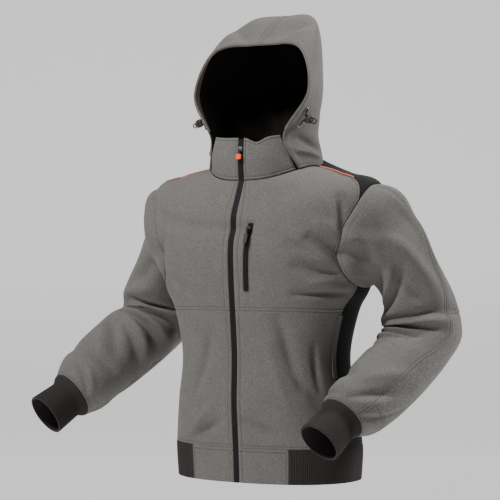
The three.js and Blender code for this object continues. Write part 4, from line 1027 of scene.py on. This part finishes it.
class JACKET_OT_hem(JacketOperator, bpy.types.Operator):
    """Make the hem band: cloth at the front, rib round the sides and back"""
    bl_idname = "jacket.hem"
    bl_label = "Hem band"

    def execute(self, context):
        sizes = context.scene.jacket_sizes
        pitch, height = sizes.rib_pitch / MM, sizes.rib_height / MM
        for side, trunk, _, turned in SIDES:
            front = front_cut(trunk, HEM_RIB_START, HEM, HEM_SEAM, width=112, height=73)
            make_cut(f"hem_front_{side}", front, "grey_shell", self.shell_cloth(),
                     stitched="tlr", turned=turned)
        rib = Cut(body, rectangle(HEM_RIB_START, FULL_TURN - HEM_RIB_START, HEM, HEM_SEAM),
                  width=860, height=73)
        make_cut("hem_rib", rib, "rib", [finish("rib"), finish("rib")], thickness=RIB_THICKNESS,
                 step=pitch / 4, step_up=CLOTH_STEP,
                 relief=lambda u, v: height * np.cos(2 * np.pi * u / pitch))
        return {"FINISHED"}


class JACKET_OT_collar(JacketOperator, bpy.types.Operator):
    """Make both collar fronts"""
    bl_idname = "jacket.collar"
    bl_label = "Collar"

    def execute(self, context):
        for side, _, neck, turned in SIDES:
            make_cut(f"collar_{side}", collar_cut(neck, side), "grey_shell", self.shell_cloth(),
                     stitched="tlb", turned=turned, step=COLLAR_STEP)
        return {"FINISHED"}


def sleeve_lines(start, end, step, scale):
    """Places along a stretch, closer at both seams, in the stretch's own units."""
    return start + grid_line((end - start) * scale, step) / scale


SLEEVE_FRONT = (ELBOW_TO, ELBOW_FROM + FULL_TURN)
SLEEVE_BACK = (ELBOW_FROM, ELBOW_TO)
SLEEVE_PIECES = (
    # name, degrees round the arm, sections along it, stitched edges, slot, cloth
    ("sleeve_front", SLEEVE_FRONT, (0, SLEEVE_SECTIONS), "br", "grey_shell", "shell"),
    ("sleeve_back", SLEEVE_BACK, (0, ELBOW_TOP), "b", "grey_shell", "shell"),
    ("elbow_panel", SLEEVE_BACK, (ELBOW_TOP, ELBOW_BOTTOM), "", "elbow_cloth", "elbow"),
    ("sleeve_wrist", SLEEVE_BACK, (ELBOW_BOTTOM, SLEEVE_SECTIONS), "tb", "grey_shell", "shell"),
)


def nearest_seam(value, seams):
    return np.min([np.abs(value - seam) for seam in seams], axis=0)


class JACKET_OT_sleeves(JacketOperator, bpy.types.Operator):
    """Make both sleeves: a front part, and above and below the elbow panel a back part"""
    bl_idname = "jacket.sleeves"
    bl_label = "Sleeves"

    def execute(self, context):
        for (side, trunk, _, turned), rows, folds in zip(
                SIDES, (LEFT_ARM, RIGHT_ARM), (LEFT_SLEEVE_FOLDS, RIGHT_SLEEVE_FOLDS)):
            on = sleeve_surface(trunk, rows, folds)
            for name, angles, levels, stitched, slot, cloth in SLEEVE_PIECES:
                self.make_piece(f"{name}_{side}", on, angles, levels, stitched, slot, cloth, turned)
        return {"FINISHED"}

    def make_piece(self, name, on, angles, levels, stitched, slot, cloth, turned):
        across = sleeve_lines(*angles, CLOTH_STEP, MM_PER_SLEEVE_DEGREE)
        up = sleeve_lines(*levels, CLOTH_STEP, MM_PER_SLEEVE_SECTION)
        angle, level = (values.ravel() for values in np.meshgrid(across, up))
        beside = nearest_seam(angle, angles) * MM_PER_SLEEVE_DEGREE
        ends = nearest_seam(level, levels) * MM_PER_SLEEVE_SECTION
        lift = seam_relief(np.minimum(beside, ends), bool(stitched))
        base, out = on(angle, level), normal_on(on, angle, level)
        grids = [grid.reshape(len(up), len(across), 3)
                 for grid in (base + out * lift[:, None], base - out * SHELL_THICKNESS, out)]
        sizes = (across - across[0]) * MM_PER_SLEEVE_DEGREE, up * MM_PER_SLEEVE_SECTION
        make_cloth(name, grids, sizes, slot, self.shell_cloth(cloth), turned)
        self.stitch(on, angles, levels, stitched, turned)

    def stitch(self, on, angles, levels, stitched, turned):
        """Rows of stitches inside the edges named by letter: top, bottom, left and right."""
        beside = STITCH_INSET / MM_PER_SLEEVE_DEGREE
        inset = STITCH_INSET / MM_PER_SLEEVE_SECTION
        around = np.linspace(angles[0], angles[1], 160)
        along = np.linspace(levels[0], levels[1], 240)
        rows = {
            "t": (around, np.full(len(around), levels[0] + inset)),
            "b": (around, np.full(len(around), levels[1] - inset)),
            "l": (np.full(len(along), angles[0] + beside), along),
            "r": (np.full(len(along), angles[1] - beside), along),
        }
        for edge in stitched:
            angle, level = rows[edge]
            out = normal_on(on, angle, level)
            add_stitch_row(on(angle, level) + out * STITCH_LIFT, out, turned=turned)


class JACKET_OT_cuffs(JacketOperator, bpy.types.Operator):
    """Make both rib cuffs"""
    bl_idname = "jacket.cuffs"
    bl_label = "Cuffs"

    def execute(self, context):
        sizes = context.scene.jacket_sizes
        height = sizes.rib_height / MM
        ribs = round(2 * np.pi * CUFF_MOUTH_RADIUS / (sizes.rib_pitch / MM))
        for (side, _, _, turned), rows in zip(SIDES, (LEFT_ARM, RIGHT_ARM)):
            angles = np.linspace(0, FULL_TURN, ribs * 4, endpoint=False)
            along = grid_line(CUFF_LENGTH, CLOTH_STEP, SEAM_GAP)
            u, v = np.meshgrid(angles, along)
            seam = {name: rows[name][-1] for name in rows}
            aim = unit(np.array([seam["aim_x"], seam["aim_y"], seam["aim_z"]]))
            part = v / CUFF_LENGTH * 4
            radius = np.where(
                part < 1, mix(seam["out"], CUFF_WAIST_RADIUS, smooth_step(part, 0, 1)),
                mix(CUFF_WAIST_RADIUS, CUFF_MOUTH_RADIUS, (part - 1) / 3))
            radius = radius + height * np.cos(2 * np.pi * u * ribs / FULL_TURN) * smooth_step(v, 1, 5)
            radius += seam_relief(v, False) + seam_relief(CUFF_LENGTH - v, False)
            outward = unit(np.array(FOREARM_OUTWARD) - aim * aim.dot(FOREARM_OUTWARD))
            forward = np.cross(aim, outward)
            turn = np.radians(u)[..., None]
            deep = seam["deep"] / seam["out"]
            out = outward * np.cos(turn) + forward * np.sin(turn) * deep
            centre = np.array([seam["x"], seam["y"], seam["z"]]) + aim * v[..., None]
            grids = centre + out * radius[..., None], centre + out * (radius - RIB_THICKNESS)[..., None], out
            across = np.append(angles, FULL_TURN) / FULL_TURN * 2 * np.pi * CUFF_MOUTH_RADIUS
            make_cloth(f"cuff_{side}", grids, (across, along), "rib", [finish("rib"), finish("rib")],
                       turned, closed=True)
        return {"FINISHED"}


HOOD_DEPTH = 250
HOOD_DROP = 330
FACE_EDGE_ROLL = 1.2
TUNNEL_INSET = 14.5
TUNNEL_MIDDLE = 7
TUNNEL_HALF_WIDTH = 5.5
TUNNEL_HEIGHT = 1.1
FACING_GAP = 0.9
WRINKLE_HEIGHT = 0.8
WRINKLE_SLANT = 0.9
WRINKLE_PITCH = 19
HOOD_FOLDS = (
    (0.9, 0.42, 2.2, 0.9, -5, 12),
    (0.35, 3.05, 1.6, 3.35, -6, 10),
    (0.4, 3.35, 1.7, 3.62, 5, 9),
    (2.6, 2.9, 4.2, 3.3, -5, 14),
    (3.2, 1.2, 4.6, 2.4, -5, 18),
    (0.9, 3.1, 2.4, 3.5, -6, 7),
    (0.6, 3.5, 2.2, 3.75, 5, 6),
    (0.3, 0.3, 1.8, 0.9, -7, 9),
    (2.6, 2.4, 4.2, 3.2, -6, 10),
    (4.4, 1.0, 5.2, 2.6, -5, 10),
)


class JACKET_OT_hood(JacketOperator, bpy.types.Operator):
    """Make both halves of the hood and the satin facing inside its edge"""
    bl_idname = "jacket.hood"
    bl_label = "Hood"

    def execute(self, context):
        on = folded(plain_hood, HOOD_FOLDS, HOOD_DEPTH / HOOD_BACK, HOOD_DROP / HOOD_FEET,
                    lambda level: smooth_step(level, 0, 0.4))
        u, v = np.meshgrid(grid_line(HOOD_DEPTH), grid_line(HOOD_DROP))
        lift = seam_relief(v, True) + seam_relief(HOOD_DROP - v, True)
        lift -= FACE_EDGE_ROLL * np.exp(-(u / FACE_EDGE_ROLL) ** 1.5)
        lift += TUNNEL_HEIGHT * np.exp(-((u - TUNNEL_MIDDLE) / TUNNEL_HALF_WIDTH) ** 4)
        lift -= np.exp(-((u - TUNNEL_INSET) / SEAM_HALF_WIDTH) ** 2)
        self.make_halves("hood", on, u, v, lift, SHELL_THICKNESS, 0, "grey_shell", self.shell_cloth())
        self.stitch_halves(on)
        inside = grid_line(HOOD_DEPTH * FACING_DEPTH / HOOD_BACK)
        long = grid_line(HOOD_DROP * FACING_FOOT / HOOD_FEET)
        u, v = np.meshgrid(inside, long)
        wrinkle = (WRINKLE_HEIGHT * np.sin(2 * np.pi * (v + WRINKLE_SLANT * u) / WRINKLE_PITCH)
                   * np.sin(np.pi * u / inside[-1]))
        self.make_halves("hood_facing", on, u, v, wrinkle, FACING_THICKNESS,
                         -SHELL_THICKNESS - FACING_GAP, "satin_facing", [finish("facing"), finish("facing")])
        return {"FINISHED"}

    def make_halves(self, name, on, u, v, lift, thickness, sink, slot, cloths):
        along, down = (u / HOOD_DEPTH * HOOD_BACK).ravel(), (v / HOOD_DROP * HOOD_FEET).ravel()
        base, out = on(along, down), normal_on(on, along, down)
        centre = (v.ravel() == 0) | (u.ravel() >= HOOD_DEPTH)
        out[centre, 0] = 0
        out = unit(out)
        base[centre, 0] = 0
        grids = [grid.reshape(*u.shape, 3) for grid in (
            base + out * (lift.ravel() + sink)[:, None], base + out * (sink - thickness), out)]
        for side, _, _, turned in SIDES:
            make_cloth(f"{name}_{side}", grids, (u[0], v[:, 0]), slot, cloths, turned)

    def stitch_halves(self, on):
        """Rows beside the centre seam, above the neck seam and along the drawcord tunnel."""
        long = np.linspace(0.02, 1, 120)
        seam = STITCH_INSET / HOOD_DROP * HOOD_FEET
        tunnel = TUNNEL_INSET / HOOD_DEPTH * HOOD_BACK
        rows = (
            (long * HOOD_BACK * 0.99, np.full(len(long), seam)),
            (long * HOOD_BACK * 0.99, np.full(len(long), HOOD_FEET - seam)),
            (np.full(len(long), tunnel), long * HOOD_FEET * 0.99),
        )
        for along, down in rows:
            out = normal_on(on, along, down)
            for turned in (False, True):
                add_stitch_row(on(along, down) + out * STITCH_LIFT, out, turned=turned)


def spaced(points, out, step):
    """Evenly spaced points along a line, with the way along it and the way out."""
    run = np.concatenate([[0], np.cumsum(np.linalg.norm(np.diff(points, axis=0), axis=1))])
    places = np.arange(step, run[-1] - step, step)
    at = np.stack([np.interp(places, run, points[:, axis]) for axis in range(3)], -1)
    ahead = np.stack([np.interp(places + 0.5, run, points[:, axis]) for axis in range(3)], -1)
    facing = unit(np.stack([np.interp(places, run, out[:, axis]) for axis in range(3)], -1))
    return at, unit(ahead - at), facing


# The rings of a stitch: share of its length, share of its width and how deep it sits
STITCH_RINGS = ((-0.5, 0.35, -0.5), (-0.3, 1, 0), (0.3, 1, 0), (0.5, 0.35, -0.5))


class JACKET_OT_stitching(JacketOperator, bpy.types.Operator):
    """Sew the rows of topstitches, one small bar of thread for each stitch"""
    bl_idname = "jacket.stitching"
    bl_label = "Stitching"

    def execute(self, context):
        sizes = context.scene.jacket_sizes
        length, width = sizes.stitch_length / MM, sizes.stitch_width / MM
        for thread, slot in (("thread", "grey_shell"), ("dark_thread", "black_shell")):
            rows = [spaced(points, out, length + sizes.stitch_gap / MM)
                    for kind, points, out in stitch_rows if kind == thread and len(points) > 4]
            if not rows:
                continue
            at, way, out = (np.concatenate([row[k] for row in rows]) for k in range(3))
            self.make_stitches(f"{thread}_stitches", at, way, out, length, width, thread, slot)
        return {"FINISHED"}

    def make_stitches(self, name, at, way, out, length, width, thread, slot):
        beside = unit(np.cross(out, way))
        out = np.cross(way, beside)
        corners = []
        for along, size, sink in STITCH_RINGS:
            for side, height in ((1, 0), (0, 1), (-1, 0), (0, -1)):
                corners.append(at + way * along * length + beside * side * size * width / 2
                               + out * (height * size + sink) * width / 2)
        points = np.stack(corners, 1).reshape(-1, 3)
        bar = [(0, 1, 2, 3), (15, 14, 13, 12)]
        for ring in range(3):
            for side in range(4):
                a, b = ring * 4 + side, ring * 4 + (side + 1) % 4
                bar.append((a, a + 4, b + 4, b))
        faces = (np.array(bar)[None] + 16 * np.arange(len(at))[:, None, None]).reshape(-1, 4)
        uv = np.zeros((len(faces), 4, 2))
        sew_on(make_mesh(name, points, faces, uv, np.zeros(len(faces))), slot, [finish(thread)])


# Zips and trims
ZIP_HALF = 6.2
ZIP_SINK = 0.3
ZIP_CROWN = 0.9
ZIP_THICKNESS = 1.6
ZIP_BACK = 0.2
ZIP_STEP = 0.8
TOOTH_PITCH = 2.4
TOOTH_HEIGHT = 0.14
TOOTH_INSET = 1.6
GROOVE_DEPTH = 0.8
GROOVE_HALF_WIDTH = 0.4
GROOVE_COLUMN = 0.45
TAPE_LINE_DEPTH = 0.25
TAPE_LINE_SHARE = 0.62
TAPE_LINE_HALF_WIDTH = 0.35
COLLAR_ZIP_TOP = 1.93
CHEST_ZIP_HALF = 5.4
CHEST_ZIP_LEVELS = (4.66, 6.78)
CHEST_ZIP_X = (36, 43)
CHEST_ZIP_LIFT = ZIP_THICKNESS + SEAM_GAP
PIPING_SHARE = (0.03, 0.7)
CHEST_BOX_INSET = 3.2
CHEST_BOX_LIFT = STITCH_LIFT + 0.5
# Levels of the rows under the chest zip, over it and over that again
CHEST_BOX_LEVELS = (CHEST_ZIP_LEVELS[0] - 0.04, CHEST_ZIP_LEVELS[1] + 0.06, CHEST_ZIP_LEVELS[1] + 0.2)


def middle_x(level):
    return np.zeros(np.shape(level))


def chest_zip_x(level):
    part = (level - CHEST_ZIP_LEVELS[0]) / (CHEST_ZIP_LEVELS[1] - CHEST_ZIP_LEVELS[0])
    return mix(*CHEST_ZIP_X, np.clip(part, 0, 1) ** 2.5)


def even_levels(on, rings, x_at, first, last, step):
    """Levels that lie evenly spaced along a zip."""
    dense = np.linspace(first, last, 400)
    middle = on(angle_for_x(rings, x_at(dense), dense), dense)
    run = np.concatenate([[0], np.cumsum(np.linalg.norm(np.diff(middle, axis=0), axis=1))])
    return np.interp(np.linspace(0, run[-1], int(round(run[-1] / step)) + 1), run, dense)


def beside_zip(on, rings, x_at, offset, levels, lift):
    """Points at an offset from a zip's middle, and the way out there."""
    angle = angle_for_x(rings, x_at(levels) + offset, levels)
    out = normal_on(on, angle, levels)
    return on(angle, levels) + out * np.reshape(lift, (-1, 1)), out


class JACKET_OT_zips(JacketOperator, bpy.types.Operator):
    """Make the front zip up to the collar and the chest pocket's zip"""
    bl_idname = "jacket.zips"
    bl_label = "Zips"

    def execute(self, context):
        stretches = ((body, BODY_RINGS, HEM, NECK), (collar, COLLAR_RINGS, 0, COLLAR_ZIP_TOP))
        self.make_zip("front_zip", stretches, middle_x, ZIP_HALF, -ZIP_SINK)
        self.make_zip("chest_zip", ((body, BODY_RINGS, *CHEST_ZIP_LEVELS),), chest_zip_x,
                      CHEST_ZIP_HALF, CHEST_ZIP_LIFT)
        self.stitch_chest_box()
        return {"FINISHED"}

    def make_zip(self, name, stretches, x_at, half, lift):
        beside_groove = np.linspace(2 * GROOVE_COLUMN, half, 8)
        across = np.concatenate([-beside_groove[::-1], [-GROOVE_COLUMN, 0, GROOVE_COLUMN], beside_groove])
        rows = []
        for on, rings, first, last in stretches:
            levels = even_levels(on, rings, x_at, first, last, ZIP_STEP)
            u, v = np.meshgrid(across, levels)
            run = np.repeat(np.arange(len(levels)) * ZIP_STEP, len(across))
            edge, _ = beside_zip(on, rings, x_at, u.ravel(), v.ravel(), np.zeros(u.size))
            height = self.relief(u.ravel(), run, half) + lift
            _, out = beside_zip(on, rings, x_at, u.ravel(), v.ravel(), height)
            rows.append([grid.reshape(*u.shape, 3) for grid in (
                edge + out * height[:, None], edge + out * (lift + ZIP_BACK - ZIP_THICKNESS), out)])
        grids = [np.concatenate(parts) for parts in zip(*rows)]
        sizes = across - across[0], np.arange(len(grids[0])) * ZIP_STEP
        make_cloth(name, grids, sizes, "zip", [finish("zip")], ending="tape")

    def relief(self, u, run, half):
        """Two crowned halves with covered teeth on both sides of a narrow groove."""
        away = np.abs(u)
        crown = ZIP_CROWN * (1 - (away / half) ** 2)
        groove = -GROOVE_DEPTH * np.exp(-(u / GROOVE_HALF_WIDTH) ** 2)
        teeth = TOOTH_HEIGHT * np.cos(2 * np.pi * run / TOOTH_PITCH) * np.exp(-(away - TOOTH_INSET) ** 2)
        tape_line = -TAPE_LINE_DEPTH * np.exp(-((away - TAPE_LINE_SHARE * half) / TAPE_LINE_HALF_WIDTH) ** 2)
        return crown + groove + teeth + tape_line

    def stitch_chest_box(self):
        """Stitches round the chest zip, with a second row above it."""
        reach = CHEST_ZIP_HALF + CHEST_BOX_INSET
        levels = even_levels(body, BODY_RINGS, chest_zip_x, *CHEST_BOX_LEVELS[::2], FINE_STEP)
        rows = [(offset, levels) for offset in (-reach, reach)]
        rows += [(np.linspace(-reach, reach, 9), np.full(9, level)) for level in CHEST_BOX_LEVELS]
        for offset, places in rows:
            points, out = beside_zip(body, BODY_RINGS, chest_zip_x, offset, places, CHEST_BOX_LIFT)
            add_stitch_row(points, out)


TRIM_ROUNDING = 0.3
CAD_TRIMS = (
    # CAD node, finish
    ("front_slider", "metal"),
    ("front_pull", "plastic"),
    ("front_pull_tab", "tab"),
    ("chest_slider", "plastic"),
    ("chest_pull", "plastic"),
    ("chest_pull_tab", "plastic"),
    ("eyelet_upper_left", "metal"),
    ("eyelet_upper_right", "metal"),
    ("eyelet_lower_left", "metal"),
    ("eyelet_lower_right", "metal"),
)


class JACKET_OT_trims(JacketOperator, bpy.types.Operator):
    """Finish the sliders, pulls and eyelets, and sew on the piping"""
    bl_idname = "jacket.trims"
    bl_label = "Trims"

    def execute(self, context):
        for node, name in CAD_TRIMS:
            piece = bpy.data.objects[node]
            piece.data.materials.clear()
            piece.data.materials.append(finish(name))
            bevel = piece.modifiers.new("soft_edges", "BEVEL")
            bevel.width = TRIM_ROUNDING * MM
            bevel.segments = 2
            bevel.limit_method = "ANGLE"
            piece.data.shade_flat()
        for side, trunk, _, turned in SIDES:
            seam = line((YOKE_FRONT_NECK, NECK), FRONT_YOKE_CORNER)
            angle, level = seam(np.linspace(*PIPING_SHARE, 30))
            points = trunk(angle, level) + normal_on(trunk, angle, level) * (PIPING_RADIUS + 2 * SEAM_GAP)
            if turned:
                points = turned_over(points)
            piece = add_round_cord(f"piping_{side}_cord", points * MM, 2 * PIPING_RADIUS * MM)
            sew_on(piece, "piping", [finish("piping")], f"piping_{side}")
        return {"FINISHED"}


def add_round_cord(name, points, diameter):
    """A round cord along points in metres."""
    bpy.ops.object.select_all(action="DESELECT")
    bpy.ops.curve.primitive_nurbs_path_add(location=(0, 0, 0))
    piece = bpy.context.object
    piece.name = name
    piece.data.splines.clear()
    spline = piece.data.splines.new("POLY")
    spline.points.add(len(points) - 1)
    for place, point in zip(spline.points, points):
        place.co = (*point, 1)
    piece.data.bevel_depth = diameter / 2
    piece.data.bevel_resolution = 3
    piece.data.use_fill_caps = True
    return piece


# Hood drawcords, in metres: each leaves the upper eyelet, turns beyond its lock and goes back
CORD_DIAMETER = 0.0024
CORD_STRAND = 0.0048
CORD_REACH = 0.027
LOCK_START = 0.007
LOCK_LENGTH = 0.017
LOCK_WIDTH = 0.017
LOCK_DEPTH = 0.008
LOCK_ROUNDING = 0.0024
BARREL_ROUNDING = 0.0006
EYELET_ALONG = 0.62
EYELET_DOWN = (2.42, 2.76)
EYELET_LIFT = 2 * SEAM_GAP
CORD_WAY = unit(np.array([0.93, 0.12, -0.34]))
CORD_TURNS = (30, 60, 90, 120, 150)
LOCK_BARRELS = (
    # radius, length, place along the lock as a share of it, distance to the side
    (0.0031, 0.006, 0.38, 0),
    (0.0024, 0.0045, -0.5, CORD_STRAND),
    (0.0024, 0.0045, -0.5, -CORD_STRAND),
)


class JACKET_OT_cords(JacketOperator, bpy.types.Operator):
    """Thread both hood drawcords through their locks"""
    bl_idname = "jacket.cords"
    bl_label = "Drawcords"

    def execute(self, context):
        along, down = np.full(2, EYELET_ALONG), np.array(EYELET_DOWN)
        out = normal_on(plain_hood, along, down)
        eyelets = (plain_hood(along, down) + out * EYELET_LIFT) * MM
        middle = eyelets.mean(0)
        up = eyelets[0] - eyelets[1]
        up = unit(up - CORD_WAY * up.dot(CORD_WAY))

        def at(strand, away):
            return middle + up * strand + CORD_WAY * away

        half = CORD_STRAND
        ways = [at(half, LOCK_START - 0.002), at(half, LOCK_START + LOCK_LENGTH), at(half, CORD_REACH)]
        back = [at(-half, CORD_REACH), at(-half, LOCK_START + LOCK_LENGTH), at(-half, LOCK_START - 0.002)]
        loop = [at(half * math.cos(math.radians(turn)), CORD_REACH + half * math.sin(math.radians(turn)))
                for turn in CORD_TURNS]
        leaving = [eyelets[0] + out[0] * away for away in (0.0003, 0.003)]
        entering = [eyelets[1] + out[1] * away for away in (0.003, 0.0003)]
        route = self.smoothed(np.array([*leaving, *ways, *loop, *back, *entering]))
        for side, _, _, turned in SIDES:
            points = turned_over(route) if turned else route
            lock = self.make_lock(f"cord_lock_{side}_body", middle, up, turned)
            sew_on(lock, "lock_plastic", [finish("plastic")], f"cord_lock_{side}")
            cord = add_round_cord(f"drawcord_{side}_cord", points, CORD_DIAMETER)
            sew_on(cord, "cord", [finish("cord")], f"drawcord_{side}")
        return {"FINISHED"}

    def smoothed(self, corners):
        """A smooth line through the route's points."""
        place = np.linspace(0, len(corners) - 1, 8 * len(corners))
        return points_between([point[None].repeat(len(place), 0) for point in corners], place)

    def make_lock(self, name, middle, up, turned):
        """A flat lock with two cord channels and a spring button on its far end."""
        centre = middle + CORD_WAY * (LOCK_START + LOCK_LENGTH / 2)
        frame = np.array([up, np.cross(CORD_WAY, up), CORD_WAY])
        parts = []

        def put(along, aside, rounding, segments):
            """Places the new part in the lock's own frame and rounds its edges."""
            place = centre + CORD_WAY * along + up * aside
            ways = frame
            if turned:
                place, ways = turned_over(place), turned_over(frame) * [[1], [-1], [1]]
            part = bpy.context.object
            part.matrix_world = Matrix([(*way, 0) for way in ways] + [(*place, 1)]).transposed()
            bevel = part.modifiers.new("rounded", "BEVEL")
            bevel.width = rounding
            bevel.segments = segments
            bpy.ops.object.modifier_apply(modifier=bevel.name)
            parts.append(part)

        bpy.ops.object.select_all(action="DESELECT")
        bpy.ops.mesh.primitive_cube_add(size=1)
        bpy.context.object.data.transform(Matrix.Diagonal((LOCK_WIDTH, LOCK_DEPTH, LOCK_LENGTH * 0.8, 1)))
        put(-0.1 * LOCK_LENGTH, 0, LOCK_ROUNDING, 4)
        for radius, length, along, aside in LOCK_BARRELS:
            bpy.ops.mesh.primitive_cylinder_add(vertices=24, radius=radius, depth=length)
            put(along * LOCK_LENGTH, aside, BARREL_ROUNDING, 2)
        bpy.ops.object.select_all(action="DESELECT")
        for part in parts:
            part.select_set(True)
        bpy.context.view_layer.objects.active = parts[0]
        bpy.ops.object.join()
        bpy.ops.object.transform_apply(location=True, rotation=True, scale=True)
        lock = bpy.context.object
        lock.name = name
        lock.data.shade_smooth()
        lock.data.set_sharp_from_angle(angle=math.radians(40))
        return lock


# Studio, in metres and degrees
VIEW_TURN = 31
CAMERA_DISTANCE = 4.2
VIEW_HEIGHT = -0.221
VIEW_SHIFT = -0.0387
LENS = 140.65
FLOOR_HEIGHT = -1.5
BACKDROP_DISTANCE = 9
BACKDROP_HEIGHT = 12
STUDIO_WIDTH = 34
FLOOR_BEHIND_CAMERA = 12
SWEEP_RADIUS = 1.2
SWEEP_STEPS = 24
PAPER_GLOW = 0.5
AIR_GLOW = 0.12
STUDIO_LIGHTS = (
    # name, turn from the camera, height, distance, size, power
    ("key_light", -54, 2.2, 2.4, 0.4, 165),
    ("side_light", 88, 1.4, 2.2, 0.5, 105),
    ("top_light", 0, 3.2, 1.0, 0.6, 30),
)


def level_way(turn):
    """The level direction from the jacket that is this many degrees from straight in front."""
    return Vector((math.sin(math.radians(turn)), -math.cos(math.radians(turn)), 0))


def look_at(item, target):
    item.rotation_euler = (target - item.location).to_track_quat("-Z", "Y").to_euler()


class JACKET_OT_studio(JacketOperator, bpy.types.Operator):
    """Set up the floor, the soft lights and the camera"""
    bl_idname = "jacket.studio"
    bl_label = "Studio"

    def execute(self, context):
        self.make_floor(context)
        self.make_lights()
        target = level_way(VIEW_TURN + 90) * VIEW_SHIFT + Vector((0, 0, VIEW_HEIGHT))
        bpy.ops.object.camera_add(location=target + level_way(VIEW_TURN) * CAMERA_DISTANCE)
        camera = context.object
        camera.data.lens = LENS
        look_at(camera, target)
        context.scene.camera = camera
        return {"FINISHED"}

    def make_floor(self, context):
        """A floor that curves up into a backdrop."""
        bpy.ops.object.select_all(action="DESELECT")
        bpy.ops.mesh.primitive_plane_add(size=1, location=(0, 0, 0))
        floor = context.object
        floor.name = "studio_floor"
        profile = [(-CAMERA_DISTANCE - FLOOR_BEHIND_CAMERA, 0)]
        for step in range(SWEEP_STEPS - 1):
            turn = math.radians(90 * step / (SWEEP_STEPS - 2))
            profile.append((BACKDROP_DISTANCE - SWEEP_RADIUS * (1 - math.sin(turn)),
                            SWEEP_RADIUS * (1 - math.cos(turn))))
        profile.append((BACKDROP_DISTANCE, BACKDROP_HEIGHT))
        points = [level_way(VIEW_TURN) * -back + level_way(VIEW_TURN + 90) * side * STUDIO_WIDTH
                  + Vector((0, 0, FLOOR_HEIGHT + height))
                  for back, height in profile for side in (-0.5, 0.5)]
        faces = [(2 * row, 2 * row + 1, 2 * row + 3, 2 * row + 2) for row in range(SWEEP_STEPS)]
        floor.data.clear_geometry()
        floor.data.from_pydata(points, [], faces)
        floor.data.shade_smooth()
        paper = context.scene.jacket_colours.floor
        material, _, _ = new_finish("studio_paper", paper, 0.9, Emission_Color=(*paper, 1),
                                    Emission_Strength=PAPER_GLOW)
        floor.data.materials.append(material)

    def make_lights(self):
        world = bpy.data.worlds.new("studio_air")
        bpy.context.scene.world = world
        world.use_nodes = True
        air = world.node_tree.nodes["Background"]
        air.inputs["Color"].default_value = (1, 1, 1, 1)
        air.inputs["Strength"].default_value = AIR_GLOW
        for name, turn, height, distance, size, power in STUDIO_LIGHTS:
            bpy.ops.object.light_add(
                type="AREA", location=level_way(VIEW_TURN + turn) * distance + Vector((0, 0, height)))
            light = bpy.context.object
            light.name = name
            light.data.shape = "DISK"
            light.data.size = size
            light.data.energy = power
            look_at(light, Vector((0, 0, VIEW_HEIGHT)))


class JACKET_PT_panel(bpy.types.Panel):
    """Sizes, colours and the operators in the order they run."""
    bl_label = "Softshell Jacket"
    bl_idname = "JACKET_PT_panel"
    bl_space_type = "VIEW_3D"
    bl_region_type = "UI"
    bl_category = "Jacket"

    def draw(self, context):
        for title, group in (("Sizes", context.scene.jacket_sizes),
                             ("Colours", context.scene.jacket_colours)):
            box = self.layout.box()
            box.label(text=title)
            for name in group.__annotations__:
                box.prop(group, name)
        column = self.layout.column(align=True)
        for operator in OPERATORS:
            column.operator(operator.bl_idname)


OPERATORS = (
    JACKET_OT_fronts,
    JACKET_OT_back,
    JACKET_OT_hem,
    JACKET_OT_collar,
    JACKET_OT_sleeves,
    JACKET_OT_cuffs,
    JACKET_OT_hood,
    JACKET_OT_zips,
    JACKET_OT_stitching,
    JACKET_OT_trims,
    JACKET_OT_cords,
    JACKET_OT_studio,
)
CLASSES = (JacketSizes, JacketColours, *OPERATORS, JACKET_PT_panel)


def register():
    for item in CLASSES:
        bpy.utils.register_class(item)
    bpy.types.Scene.jacket_sizes = bpy.props.PointerProperty(type=JacketSizes)
    bpy.types.Scene.jacket_colours = bpy.props.PointerProperty(type=JacketColours)


def unregister():
    del bpy.types.Scene.jacket_colours
    del bpy.types.Scene.jacket_sizes
    for item in reversed(CLASSES):
        bpy.utils.unregister_class(item)


def main():
    register()
    bpy.ops.jacket.fronts()
    bpy.ops.jacket.back()
    bpy.ops.jacket.hem()
    bpy.ops.jacket.collar()
    bpy.ops.jacket.sleeves()
    bpy.ops.jacket.cuffs()
    bpy.ops.jacket.hood()
    bpy.ops.jacket.zips()
    bpy.ops.jacket.stitching()
    bpy.ops.jacket.trims()
    bpy.ops.jacket.cords()
    bpy.ops.jacket.studio()


if __name__ == "__main__":
    main()
